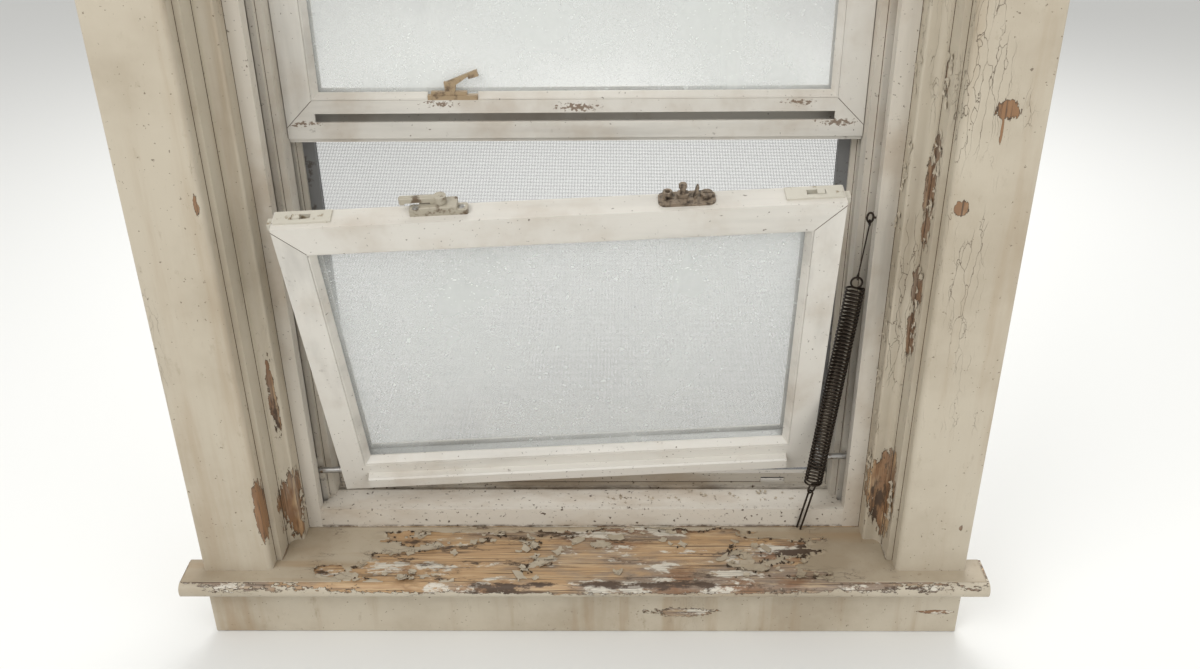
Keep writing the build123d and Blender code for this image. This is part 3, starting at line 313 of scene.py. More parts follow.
def bare_wood(look, way, chalk_places, rot_places):
    """Colour and grain of old bare wood: gold, grey, rotten and, on a lying board, chalky."""
    long = LONG_PATCHES[way]
    grain = look.level(WOOD_GRAIN, FINE_GRAIN[way])
    colour = look.cover(BARE_GOLD, WOOD_GREY, stretch=long)
    colour = look.cover(colour, WOOD_STRAW, stretch=COARSE_GRAIN[way])
    colour = look.cover(colour, WOOD_RUST[way], stretch=long)
    if way == "x":
        colour = look.cover(colour, WOOD_CHALK, stretch=long, places=chalk_places)
    dark = look.span(grain, WOOD_GRAIN.low, WOOD_GRAIN.high)
    colour = look.lay(colour, dark, WOOD_GRAIN.strength, WOOD_GRAIN.tone)
    colour = look.cover(colour, WOOD_ROT, stretch=long, places=rot_places)
    return colour, grain


def shim_wood():
    look = Look("shim_wood", BARE_GOLD, 0.7)
    return look.finish(look.cover(BARE_GOLD, SHIM_GRAIN))


# Cracks in old paint
LONG_CRACKS = {"x": (0.30, 2.6, 2.6), "z": (2.6, 2.6, 0.30)}
CRACK_PLACES = Layer(11.0, 0.66, 0.70, detail=4.0, stretch=(1, 1, 0.3))
CRACK_LOW_DROP = 0.16
CRACK_HIGH_DROP = 0.12
CRACK_BEND = Layer(60.0, detail=4.0, rough=0.5, stretch=(1, 1, 0.5))
CRACK_SCALE = 50.0
CRACK_WIDTH = 0.022
CRACK_WANDER = 2.0
CRACK_SINK = 0.5


def crack_lines(look, stretch):
    """Thin lines between the cells of a cell pattern that noise has bent."""
    cells = look.new("ShaderNodeTexVoronoi")
    cells.feature = "DISTANCE_TO_EDGE"
    cells.inputs["Scale"].default_value = CRACK_SCALE
    bent = look.new("ShaderNodeVectorMath")
    bent.operation = "MULTIPLY_ADD"
    look.join(look.noise_node(CRACK_BEND).outputs["Color"], bent.inputs[0])
    bent.inputs[1].default_value = (CRACK_WANDER / CRACK_SCALE,) * 3
    look.join(look.stretched(stretch), bent.inputs[2])
    look.join(bent.outputs[0], cells.inputs["Vector"])
    return look.span(cells.outputs["Distance"], CRACK_WIDTH, 0.0)


def cracked(look, colour, crackle, way):
    """Fine dark cracks, in more places the larger crackle is."""
    where = look.share(CRACK_PLACES._replace(low=CRACK_PLACES.low - CRACK_LOW_DROP * crackle,
                                             high=CRACK_PLACES.high - CRACK_HIGH_DROP * crackle))
    lines = look.calc("MULTIPLY", crack_lines(look, LONG_CRACKS[way]), where)
    look.raise_by(lines, -CRACK_SINK * crackle)
    return look.lay(colour, lines, crackle, GRIME_AND_SHADE)


# Places where the paint has peeled off
LONG_FLAKES = {"x": (0.45, 1, 1), "z": (1, 1, 0.30)}
PEEL_RAGGED = Layer(75.0, detail=6.0, rough=0.68)
PEEL_JAGGED = Layer(300.0, strength=0.42, detail=3.0)
PEEL_NOISE = 2.2
PEEL_PULL = 1.1
PEEL_EDGE = (-0.07, 0.0)
PEEL_OPEN = (0.03, 0.09)
PEEL_STEP = (-0.02, 0.04)
PEEL_SINK = 0.9
GRAIN_RISE = 0.4
NOISE_MIDDLE = 0.5


def peeled_paint(look, colour, peels, way, chalk_places, rot_places):
    """Bare wood, sunk in and with a dark ragged edge of painted shade, at the named places."""
    wood, grain = bare_wood(look, way, chalk_places, rot_places)
    jagged = look.calc("SUBTRACT", look.level(PEEL_JAGGED, LONG_FLAKES[way]), NOISE_MIDDLE)
    ragged_edge = look.calc("MULTIPLY_ADD", jagged, PEEL_JAGGED.strength,
                            look.level(PEEL_RAGGED, LONG_FLAKES[way]))
    ragged_edge = look.calc("MULTIPLY", ragged_edge, PEEL_NOISE)
    gone = None
    for middle, half, reach in peels:
        here = look.calc("MULTIPLY", look.inside(middle, half), PEEL_PULL)
        here = look.calc("ADD", here, ragged_edge)
        here = look.calc("SUBTRACT", here, PEEL_NOISE - reach)
        gone = here if gone is None else look.calc("MAXIMUM", gone, here)
    # Painted shade: a dark band round the rim of each peeled place, where the paint's raised edge
    # would shade it
    colour = look.mix(look.span(gone, *PEEL_EDGE), colour, GRIME_AND_SHADE)
    open_wood = look.span(gone, *PEEL_OPEN)
    look.raise_by(look.span(gone, *PEEL_STEP), -PEEL_SINK)
    look.raise_by(look.calc("MULTIPLY", grain, open_wood), GRAIN_RISE)
    return look.mix(open_wood, colour, wood)


# Old paint
DRIPS = {"x": (2.2, 26, 26), "z": (26, 26, 2.2)}
PAINT_STAIN = Layer(5.5, 0.40, 0.70, 0.55, CREAM_DARK, detail=6.0, rough=0.62)
PAINT_RUNS = Layer(1.0, 0.50, 0.72, 0.55, TAN_STAIN)
PAINT_SPECKS = Layer(230.0, 0.70, 0.76, 0.7, detail=2.0, rough=0.5)
PAINT_SMEARS = Layer(60.0, 0.60, 0.74, 0.5, CREAM_DARK, rough=0.7, stretch=(1, 1, 0.5))
BRUSH_MARKS = Layer(90.0, strength=0.25, detail=4.0, stretch=(1, 1, 0.4))


def aged_paint(name, peels=(), grime=0.5, crackle=0.0, streaks="z", grain="z", tone=CREAM,
               chalk_places=(), rot_places=()):
    """Old paint: stains, drips, specks, fine cracks and named places where it is gone."""
    look = Look(name, tone, 0.52)
    colour = look.cover(tone, PAINT_STAIN, grime)
    colour = look.cover(colour, PAINT_RUNS, grime, DRIPS[streaks])
    colour = look.cover(colour, PAINT_SPECKS)
    colour = look.cover(colour, PAINT_SMEARS, grime)
    look.emboss(BRUSH_MARKS)
    if crackle:
        colour = cracked(look, colour, crackle, streaks)
    if peels:
        colour = peeled_paint(look, colour, peels, grain, chalk_places, rot_places)
    return look.finish(colour)


# Yellowed vinyl
VINYL_STREAKS = {"x": (2.0, 18, 18), "z": (18, 18, 2.0)}
VINYL_SHADE = 0.62
VINYL_RUNS = Layer(1.0, 0.46, 0.74)
VINYL_CLOUDS = Layer(9.0, 0.45, 0.72, 0.6, TAN_STAIN)
VINYL_SPECKS = Layer(260.0, 0.69, 0.75, 0.75, detail=2.0, rough=0.5)
VINYL_SCUFFS = Layer(48.0, 0.63, 0.74, 0.8, detail=6.0, rough=0.72)
VINYL_SPOTS = Layer(330.0, 0.0, 0.14, 0.85, STAIN_BROWN, detail=4.0, stretch=(0.7, 1, 1))
VINYL_RIPPLE = Layer(120.0, strength=0.08, detail=3.0, rough=0.5)
SPOT_NOISE = 2.4
SPOT_PULL = 0.6


def vinyl(name, tone, grime, streaks="z", stains=()):
    """Vinyl with streaks, smears, specks and brown stains at named places."""
    look = Look(name, tone, 0.44)
    shade = tuple(part * VINYL_SHADE for part in tone)
    colour = look.cover(tone, VINYL_RUNS._replace(tone=shade), grime, VINYL_STREAKS[streaks])
    colour = look.cover(colour, VINYL_CLOUDS, grime)
    colour = look.cover(colour, VINYL_SPECKS)
    colour = look.cover(colour, VINYL_SCUFFS, grime)
    for middle, half, reach in stains:
        spots = look.calc("MULTIPLY_ADD", look.level(VINYL_SPOTS), SPOT_NOISE, reach - SPOT_NOISE)
        pull = look.calc("MULTIPLY", look.inside(middle, half), SPOT_PULL)
        spots = look.span(look.calc("ADD", spots, pull), VINYL_SPOTS.low, VINYL_SPOTS.high)
        colour = look.lay(colour, spots, VINYL_SPOTS.strength, VINYL_SPOTS.tone)
    look.emboss(VINYL_RIPPLE)
    return look.finish(colour)


# The unit's sill, with specks of dust, dirt along its foot and dirt in its groove
SILL_CLOUDS = Layer(12.0, 0.42, 0.70, 0.55, TAN_STAIN, stretch=(0.5, 1, 1))
SILL_SPECKS = Layer(190.0, 0.62, 0.70, detail=3.0)
SILL_FOOT_DIRT = Layer(60.0, 0.35, 0.60, rough=0.7, stretch=(1, 1, 2))
SILL_GROOVE_DIRT = Layer(40.0, 0.36, 0.66, 0.6, rough=0.7, stretch=(0.5, 1, 1))
SILL_SPECK_RISE = 0.3
FOOT_RISE = 5 * MM
FOOT_BACK = (SILL_FRONT + 13 * MM, SILL_FRONT + 7 * MM)
GROOVE_FRONT = (SILL_FRONT + 45 * MM, SILL_FRONT + 55 * MM)
GROOVE_BACK = (SILL_FRONT + 65 * MM, SILL_FRONT + 59 * MM)


def sill_vinyl():
    look = Look("vinyl_sill", VINYL, 0.5)
    colour = look.cover(VINYL, SILL_CLOUDS)
    specks = look.share(SILL_SPECKS)
    colour = look.mix(specks, colour, GRIME_AND_SHADE)
    foot = look.span(look.along(Z), STOOL_TOP + FOOT_RISE, STOOL_TOP)
    foot = look.calc("MULTIPLY", foot, look.span(look.along(Y), *FOOT_BACK))
    foot = look.calc("MULTIPLY", foot, look.share(SILL_FOOT_DIRT))
    colour = look.mix(foot, colour, GRIME_AND_SHADE)
    groove = look.span(look.along(Y), *GROOVE_FRONT)
    groove = look.calc("MULTIPLY", groove, look.span(look.along(Y), *GROOVE_BACK))
    groove = look.calc("MULTIPLY", groove, look.share(SILL_GROOVE_DIRT))
    colour = look.lay(colour, groove, SILL_GROOVE_DIRT.strength, GRIME_AND_SHADE)
    look.raise_by(specks, SILL_SPECK_RISE)
    return look.finish(colour)


# Dusty clear glass: a thin film, streaks, crowds of specks and dried drops
GLASS_FILM = Layer(5.0, 0.30, 0.75, 0.30)
GLASS_STREAKS = Layer(1.0, 0.55, 0.80, 0.12, detail=3.0, rough=0.5, stretch=(40, 40, 5))
GLASS_SPECKS = Layer(320.0, 0.70, 0.74, 0.55, detail=1.0, rough=0.4)
GLASS_CROWDS = Layer(14.0, 0.36, 0.66, detail=4.0)
GLASS_DROPS = Layer(120.0, 0.74, 0.77, 0.45, detail=1.0, rough=0.4)
CLEAR_ALPHA = 0.08
DUSTY_ALPHA = 0.95
GLASS_GLOSS = 0.5


def glass_look():
    look = Look("dusty_glass", GLASS_DUST, 0.12)
    look.shader.inputs["Specular IOR Level"].default_value = GLASS_GLOSS
    alpha = CLEAR_ALPHA
    for layer in (GLASS_FILM, GLASS_STREAKS, GLASS_SPECKS, GLASS_DROPS):
        share = look.share(layer)
        if layer is GLASS_SPECKS:
            share = look.calc("MULTIPLY", share, look.share(GLASS_CROWDS))
        alpha = look.calc("MULTIPLY_ADD", share, layer.strength, alpha)
    return look.finish(alpha=look.calc("MINIMUM", alpha, DUSTY_ALPHA))


# Insect screen: a fine dark weave that is mostly open
WEAVE_PITCH = 1.8 * MM
WEAVE_LEVELS = (0.55, 0.80)
WEAVE_ALPHA = 0.45


def screen_look():
    look = Look("screen_weave", SCREEN_WIRE, 0.6)
    wires = []
    for axis in (X, Z):
        turn = look.calc("MULTIPLY", look.along(axis), 2 * math.pi / WEAVE_PITCH)
        wires.append(look.span(look.calc("SINE", turn), *WEAVE_LEVELS))
    weave = look.calc("MAXIMUM", *wires)
    return look.finish(alpha=look.calc("MULTIPLY_ADD", weave, WEAVE_ALPHA, CLEAR_ALPHA))


# Metal and hard plastic, with patches of a worn or dirty colour and small pits
WORN_PATCHES = Layer(90.0, 0.62, 0.66, rough=0.65)
WORN_LOW_DROP = 0.2
PITS = Layer(270.0, strength=0.25, detail=3.0)


def metal(name, tone, roughness, metallic, worn=None, amount=0.5, scale=90.0):
    look = Look(name, tone, roughness, metallic)
    if worn is None:
        return look.finish()
    finer = scale * PITS.scale / WORN_PATCHES.scale
    look.emboss(PITS._replace(scale=finer, strength=PITS.strength * amount))
    low = WORN_PATCHES.low - WORN_LOW_DROP * amount
    return look.finish(look.cover(tone, WORN_PATCHES._replace(scale=scale, low=low, tone=worn)))


# Worn places on the standing boards and the apron, as pixels of the photograph
RIGHT_CASING_HIGH = (1008, 110)
RIGHT_CASING_MIDDLE = (962, 209)
RIGHT_CASING_SLIT = (1002, 130)
RIGHT_CASING_FOOT = (961, 528)
LEFT_CASING_FOOT = (262, 515)
LEFT_CASING_HIGH = (64, 120)
LEFT_CASING_EDGE = (268, 520)
LEFT_CASING_MIDDLE = (196, 205)
RIGHT_STOP_FOOT = (888, 492)
RIGHT_STOP_FOOT_SIDE = (874, 478)
LEFT_STOP_FOOT = (296, 505)
LEFT_STOP_EDGE = (272, 400)
RIGHT_JAMB_FOOT = (905, 470)
APRON_MIDDLE = (680, 612)
APRON_RIGHT = (936, 612)

# Splinters up the right stop: pixel, half width and half height in mm, and how fully it is bare
RIGHT_STOP_SPLINTERS = (((903, 400), 3.0, 30, 1.00), ((910, 330), 3.5, 30, 1.15),
                        ((916, 285), 4.0, 24, 1.20), ((925, 225), 3.0, 20, 1.15),
                        ((929, 185), 3.5, 30, 1.20), ((937, 145), 3.5, 18, 1.15),
                        ((947, 75), 2.5, 26, 1.10))

# Stains on the upper sash's bottom rail: pixel, and how fully it is brown
UPPER_RAIL_STAINS = (((578, 107), 1.05), ((838, 122), 1.0), ((800, 102), 0.9),
                     ((305, 124), 0.9), ((440, 104), 0.9))
STAIN_HALF = 26
STAIN_UP = 5

# Places on the stool, as pixels of the photograph
CHALK_MIDDLE = (690, 551)
CHALK_FRONT = (730, 573)
ROT_LEFT = (322, 572)
ROT_RIGHT = (800, 553)
ROT_FRONT = (600, 584)
KEPT_BACK_LEFT = (340, 538)
KEPT_BACK_MIDDLE = (480, 531)
KEPT_ISLAND = (601, 545)
KEPT_BACK_RIGHT = (785, 536)
KEPT_RIGHT_END = (858, 560)
KEPT_RIGHT_ISLAND = (745, 566)
KEPT_LEFT_END = (286, 560)
GONE_LEFT = (328, 571)
GONE_LEFT_FRONT = (380, 571)
GONE_RIGHT_FRONT = (810, 573)
GONE_LEFT_MIDDLE = (450, 562)
GONE_RIGHT_MIDDLE = (650, 562)
GONE_RIGHT = (800, 552)
GONE_FRONT = (560, 578)

PEEL_DEPTH = 22 * MM
SPOT_HEIGHT = 12 * MM


def peel(pixel, plane, across, up, reach, axis=Y):
    """Where paint is gone: its middle, its half size (given in mm) and how fully."""
    half = [across * MM, across * MM, up * MM]
    half[axis] = max(half[axis], PEEL_DEPTH)
    return (tuple(seen_at(pixel, axis, plane)), tuple(half), reach)


def stool_spot(pixel, half_x, half_y, amount):
    """A flat oval on the stool: its middle, its half size (given in mm) and its amount."""
    return (tuple(seen_at(pixel, Z, STOOL_TOP)), (half_x * MM, half_y * MM, SPOT_HEIGHT), amount)


casing_peels = [peel(RIGHT_CASING_HIGH, CASING_FACE, 9, 9, 1.35),
                peel(RIGHT_CASING_MIDDLE, CASING_FACE, 6, 7, 1.30),
                peel(RIGHT_CASING_SLIT, CASING_FACE, 1.3, 14, 1.20),
                peel(RIGHT_CASING_FOOT, CASING_FACE, 2, 4, 1.20)]
left_casing_peels = [peel(LEFT_CASING_FOOT, CASING_FACE, 6, 34, 1.35),
                     peel(LEFT_CASING_HIGH, CASING_FACE, 4, 14, 1.2),
                     peel(LEFT_CASING_EDGE, CASING_FACE, 5, 42, 1.05),
                     peel(LEFT_CASING_MIDDLE, CASING_FACE, 3, 14, 0.95)]
right_stop_peels = [peel(RIGHT_STOP_FOOT, STOP_LINE, 17, 46, 1.50),
                    peel(RIGHT_STOP_FOOT_SIDE, STOP_LINE + 15 * MM, 10, 40, 1.15)]
right_stop_peels += [peel(pixel, STOP_LINE, across, up, reach)
                     for pixel, across, up, reach in RIGHT_STOP_SPLINTERS]
left_stop_peels = [peel(LEFT_STOP_FOOT, STOP_LINE, 16, 42, 1.35),
                   peel(LEFT_STOP_EDGE, STOP_LINE, 5, 60, 0.95)]
jamb_peels = right_stop_peels + [peel(RIGHT_JAMB_FOOT, JAMB_FACE - 9 * MM, 12, 34, 1.1, axis=X)]
apron_peels = [peel(APRON_MIDDLE, CASING_FACE, 60, 9, 0.72),
               peel(APRON_RIGHT, CASING_FACE, 26, 3, 1.0)]
upper_stains = [peel(pixel, UPPER_RAIL_FACE, STAIN_HALF, STAIN_UP, reach)
                for pixel, reach in UPPER_RAIL_STAINS]

# The stool itself is bare on top and along its nose, and its paint is a sheet of its own
stool_middle_y = (stool_low.y + stool_high.y) / 2
bare_top = ((0.0, stool_middle_y + 3 * MM, STOOL_TOP), (400 * MM, 85 * MM, 9 * MM), 1.45)
bare_nose = ((-20 * MM, STOOL_FRONT, STOOL_TOP - 2 * MM), (300 * MM, 14 * MM, 7 * MM), 1.30)
stool_peels = [bare_top, bare_nose]
chalk_places = [stool_spot(CHALK_MIDDLE, 46, 17, 0.22), stool_spot(CHALK_FRONT, 40, 8, 0.12)]
rot_places = [stool_spot(ROT_LEFT, 16, 12, 0.24), stool_spot(ROT_RIGHT, 62, 8, 0.20),
              stool_spot(ROT_FRONT, 260, 6, 0.12)]
paint_kept = [stool_spot(KEPT_BACK_LEFT, 62, 9, 1.1), stool_spot(KEPT_BACK_MIDDLE, 90, 5, 1.0),
              stool_spot(KEPT_ISLAND, 17, 9, 1.2), stool_spot(KEPT_BACK_RIGHT, 76, 7, 1.2),
              stool_spot(KEPT_RIGHT_END, 30, 15, 1.0), stool_spot(KEPT_RIGHT_ISLAND, 26, 6, 0.9),
              stool_spot(KEPT_LEFT_END, 26, 20, 1.0)]
paint_gone = [stool_spot(GONE_LEFT, 24, 16, 1.0), stool_spot(GONE_LEFT_FRONT, 50, 14, 0.6),
              stool_spot(GONE_RIGHT_FRONT, 60, 8, 0.6), stool_spot(GONE_LEFT_MIDDLE, 110, 26, 0.6),
              stool_spot(GONE_RIGHT_MIDDLE, 120, 28, 0.6), stool_spot(GONE_RIGHT, 50, 7, 0.9),
              stool_spot(GONE_FRONT, 220, 9, 0.5)]

# Looks of single nodes
LOOKS = {
    "upper_bottom_rail": vinyl("vinyl_upper_rail", VINYL_SASH, grime=0.7, streaks="x",
                               stains=upper_stains),
    "casing_right": aged_paint("casing_paint_right", casing_peels, grime=0.7, crackle=0.9),
    "casing_left": aged_paint("casing_paint_left", left_casing_peels, grime=0.7, crackle=0.5),
    "stop_right": aged_paint("stop_paint_right", right_stop_peels, grime=0.75, crackle=0.95),
    "stop_left": aged_paint("stop_paint_left", left_stop_peels, grime=0.75, crackle=0.6),
    "stool": aged_paint("stool_bare", stool_peels, grime=0.9, crackle=0.7, streaks="x", grain="x",
                        chalk_places=chalk_places, rot_places=rot_places),
    "apron": aged_paint("apron_paint", apron_peels, grime=1.1, crackle=0.2, grain="x"),
    "wood_jamb_left": aged_paint("jamb_paint_left", left_stop_peels, grime=0.7, crackle=0.5),
    "wood_jamb_right": aged_paint("jamb_paint_right", jamb_peels, grime=0.7, crackle=0.7),
    "unit_sill": sill_vinyl(),
    "unit_jamb_left": vinyl("vinyl_jamb_left", VINYL, grime=0.75),
    "unit_jamb_right": vinyl("vinyl_jamb_right", VINYL, grime=0.75),
}

# Looks of all the other nodes, by their material slot
SLOT_LOOKS = {
    "painted_wood": aged_paint("old_paint", grime=0.6, crackle=0.35),
    "raw_wood": shim_wood(),
    "vinyl_frame": vinyl("vinyl_frame", VINYL, grime=0.6, streaks="x"),
    "vinyl_sash": vinyl("vinyl_sash", VINYL_SASH, grime=0.55, streaks="x"),
    "window_glass": glass_look(),
    "screw_steel": metal("screw_steel", SCREW_GREY, 0.4, 0.9, SCREW_RUST, amount=0.4),
    "spring_steel": metal("spring_steel", SPRING_BROWN, 0.34, 0.75, SPRING_BLACK, amount=0.5,
                          scale=120.0),
    "tube_plastic": metal("tube_plastic", TUBE_WHITE, 0.5, 0.0),
    "screen_metal": metal("screen_metal", SCREEN_BAR, 0.5, 0.3, SCREEN_BAR_DIRT, amount=0.3),
    "screen_mesh": screen_look(),
    "latch_plastic": metal("latch_plastic", LATCH_CREAM, 0.45, 0.0, LATCH_DIRT, amount=0.3),
    "lock_cream": metal("lock_cream", LOCK_CREAM, 0.42, 0.1, LOCK_DIRT, amount=0.35, scale=70.0),
    "corroded_metal": metal("corroded_metal", CORRODED_TAN, 0.6, 0.3, CORRODED_BLACK, amount=0.95,
                            scale=150.0),
    "tan_metal": metal("tan_metal", BRONZE_TAN, 0.5, 0.15, BRONZE_DIRT, amount=0.6, scale=80.0),
    "spacer_metal": metal("spacer_metal", SPACER_GREY, 0.35, 0.8),
}
paint_sheet_look = aged_paint("stool_paint", grime=1.5, crackle=0.9, streaks="x", grain="x",
                              tone=CREAM_WORN)
stile_look = vinyl("vinyl_stile", VINYL_SASH, grime=0.55)
# Dark rods and scraps: hairlines in the sash mitres, and painted shade in the unit's inner corners,
# in the open joints and along the edges of the stool's paint
dirt_and_shade_look = metal("dirt", GRIME_AND_SHADE, 0.9, 0.0, GRIME_AND_SHADE_BLACK, amount=0.6, scale=200.0)


def dress(obj, material):
    obj.data.materials.clear()
    obj.data.materials.append(material)


for part in frame["record"]["subparts"]:
    node_name = part["node"]
    material = LOOKS.get(node_name, SLOT_LOOKS[part["material_slot"]])
    if "_stile_" in node_name:
        material = stile_look
    dress(NODES[node_name], material)


def piece(name, points, faces, body, material, smooth=False):
    """A new visible piece that moves with one body."""
    mesh = bpy.data.meshes.new(name)
    mesh.from_pydata([tuple(p) for p in points], [], faces)
    mesh.validate()
    obj = bpy.data.objects.new(name, mesh)
    bpy.context.scene.collection.objects.link(obj)
    for face in mesh.polygons:
        face.use_smooth = smooth
    dress(obj, material)
    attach(obj, body)
    return obj


def add_patch(points, faces, some, around):
    """Adds one more patch of points and faces to the lists of a piece."""
    start = len(points)
    points += some
    faces += [tuple(start + k for k in face) for face in around]


# Stay spring: a real wound wire in place of the ridged tube, along the line that it is pulled
EYE_LOW = Vector((0.3275, 0.0730, 0.4840))
PULL_LOW = Vector((0.2998, 0.0613, 0.2350))
COIL_TOP = 0.4060
COIL_BOTTOM = 0.1345
COIL_RADIUS = 10.2 * MM
COIL_WIRE = 1.28 * MM
COIL_TURNS = 58
COIL_END_GAP = 1.3 * MM
LOOP_RADIUS = 6.5 * MM
LOOP_SINK = 1 * MM
LOOP_TURN = math.radians(40)
LOOP_STEPS = 24
WIRE_SIDES = 8
TURN_STEPS = 26


def on_pull_line(z):
    """The point at a height on the line that the spring is pulled along."""
    return EYE_LOW + (PULL_LOW - EYE_LOW) * ((EYE_LOW.z - z) / (EYE_LOW.z - PULL_LOW.z))


def tube(path, radius, sides):
    """Points and faces of a round wire along a path of points, closed at both ends."""
    points, faces = [], []
    side_way = None
    for number, place in enumerate(path):
        before = path[max(number - 1, 0)]
        after = path[min(number + 1, len(path) - 1)]
        run = (after - before).normalized()
        if side_way is None:
            side_way = run.orthogonal().normalized()
        side_way = (side_way - run * side_way.dot(run)).normalized()
        other = run.cross(side_way)
        for k in range(sides):
            turn = 2 * math.pi * k / sides
            points.append(place + (side_way * math.cos(turn) + other * math.sin(turn)) * radius)
    for number in range(len(path) - 1):
        a, b = number * sides, (number + 1) * sides
        for k in range(sides):
            n = (k + 1) % sides
            faces.append((a + k, a + n, b + n, b + k))
    faces.append(tuple(reversed(range(sides))))
    last = (len(path) - 1) * sides
    faces.append(tuple(range(last, last + sides)))
    return points, faces


def coil_wire_path():
    """The wire's middle line: a hook loop, the wound body and the other hook loop."""
    low, high = on_pull_line(COIL_BOTTOM), on_pull_line(COIL_TOP)
    up = (high - low).normalized()
    rise = (high - low).length - 2 * COIL_END_GAP
    first = (Vector((1, 0, 0)) - up * up.x).normalized()
    second = up.cross(first)

    def ring(turn_start, middle, outward):
        """The hook loop at an end, in the plane of the coil's axis."""
        way = first * math.cos(turn_start) + second * math.sin(turn_start)
        turns = [2 * math.pi * k / LOOP_STEPS for k in range(LOOP_STEPS + 1)]
        return [middle + way * (LOOP_RADIUS * math.sin(turn))
                - up * (outward * LOOP_RADIUS * math.cos(turn)) for turn in turns]

    steps = COIL_TURNS * TURN_STEPS
    path = ring(LOOP_TURN, low + up * (LOOP_SINK - LOOP_RADIUS), -1)
    for k in range(steps + 1):
        turn = 2 * math.pi * k / TURN_STEPS
        around = first * math.cos(turn) + second * math.sin(turn)
        path.append(low + up * (COIL_END_GAP + rise * k / steps) + around * COIL_RADIUS)
    path += ring(0.0, high + up * (LOOP_RADIUS - LOOP_SINK), 1)
    return path


spring_points, spring_faces = tube(coil_wire_path(), COIL_WIRE, WIRE_SIDES)
spring = piece("spring_wire", spring_points, spring_faces, "frame",
               SLOT_LOOKS["spring_steel"], True)
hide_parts("stay_spring")


# Dark hairlines in the mitres of the sashes, and painted shade as dark hairlines in the inner
# corners of the unit and in open joints
SEAM_RADIUS = 0.35 * MM
CORNER_RADIUS = 0.55 * MM
LINE_SIDES = 5
FACE_PLAY = 0.5 * MM
FACING = 0.9
MITRE_NORMALS = (0.6, 0.8)
LEAST_CORNER = 60 * MM
SAME_WAY = 0.8
LEAST_RISE = 0.01 * MM
CORNER_DIGITS = 5
UNIT_MIDDLE = (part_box("unit_jamb_left")[0].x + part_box("unit_jamb_right")[1].x) / 2
UNIT_OPENING_HALF = (unit_sill_high.x - unit_sill_low.x) / 2


def mitre_lines(name):
    """Edges of a rail's mitred ends that lie on the sash's front or back face."""
    obj = NODES[name]
    place = obj.matrix_world
    turn = place.to_3x3()
    points = [place @ v.co for v in obj.data.vertices]
    facing_front = [f for f in obj.data.polygons if (turn @ f.normal).y < -FACING]
    front = max(facing_front, key=lambda f: f.area)
    out = (turn @ front.normal).normalized()
    levels = [point.dot(out) for point in points]
    uses = {}
    for face in obj.data.polygons:
        if MITRE_NORMALS[0] < abs((turn @ face.normal).x) < MITRE_NORMALS[1]:
            for key in face.edge_keys:
                uses[key] = uses.get(key, 0) + 1
    lines = []
    for (a, b), times in uses.items():
        on_front = min(levels[a], levels[b]) > max(levels) - FACE_PLAY
        on_back = max(levels[a], levels[b]) < min(levels) + FACE_PLAY
        if times == 1 and (on_front or on_back):
            lines.append((points[a], points[b]))
    return lines


def inner_corners(name):
    """Long edges of a part of the unit that lie in an inner corner and show in the opening, for
    lines of painted shade.
    """
    obj = NODES[name]
    place = obj.matrix_world
    turn = place.to_3x3()
    corners = [tuple(round(c, CORNER_DIGITS) for c in place @ v.co) for v in obj.data.vertices]
    sides = {}
    for face in obj.data.polygons:
        for a, b in face.edge_keys:
            ends = tuple(sorted((corners[a], corners[b])))
            sides.setdefault(ends, []).append((turn @ face.normal, place @ face.center))
    lines = []
    for (low, high), pair in sides.items():
        low, high = Vector(low), Vector(high)
        from_middle = max(abs(low.x - UNIT_MIDDLE), abs(high.x - UNIT_MIDDLE))
        seen = from_middle < UNIT_OPENING_HALF + FACE_PLAY
        if len(pair) == 2 and seen and (high - low).length > LEAST_CORNER:
            (out, middle), (other_out, other) = pair
            if out.dot(other_out) < SAME_WAY and (other - middle).dot(out) > LEAST_RISE:
                lines.append((low, high))
    return lines


def joint_lines():
    """Open joints down both sides, for dark rods of painted shade: casing to jamb, jamb to stop,
    and stop to the vinyl unit.
    """
    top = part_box("stop_head")[0].z
    lines = []
    for side, inner, outer in (("left", 1, 0), ("right", 0, 1)):
        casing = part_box("casing_" + side)
        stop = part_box("stop_" + side)
        unit_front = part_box("unit_jamb_" + side)[0].y
        for x, y in ((casing[inner].x, WALL_FACE), (stop[outer].x, stop[0].y),
                     (stop[inner].x, unit_front)):
            lines.append((Vector((x, y, STOOL_TOP)), Vector((x, y, top))))
    return lines


def dark_lines(name, lines, radius, body):
    """One piece that follows straight lines with thin dark rods."""
    points, faces = [], []
    for line in lines:
        add_patch(points, faces, *tube(line, radius, LINE_SIDES))
    piece(name, points, faces, body, dirt_and_shade_look)


for sash in ("lower", "upper"):
    seams = mitre_lines(sash + "_top_rail") + mitre_lines(sash + "_bottom_rail")
    dark_lines(sash + "_sash_seams", seams, SEAM_RADIUS, sash + "_sash")
unit_corners = [line for name in ("unit_jamb_left", "unit_jamb_right", "unit_sill")
                for line in inner_corners(name)]
# Painted shade: dark rods along the inner corners of the unit
dark_lines("corner_shade", unit_corners, CORNER_RADIUS, "frame")
# Painted shade: dark rods in the open joints down both sides
dark_lines("joint_shade", joint_lines(), CORNER_RADIUS, "frame")


# Peeling paint on the stool, as a thin sheet with ragged holes and curled edges
SHEET_STEP = 1.9 * MM
SHEET_RISE = 0.35 * MM
SHEET_THICK = 0.45 * MM
SHEET_EDGE = 1 * MM
NOSE_FLAT = 9 * MM
CURL = 4.5 * MM
CURL_WIDTH = 0.20
CURL_LEAST = 0.15
CURL_GAIN = 3

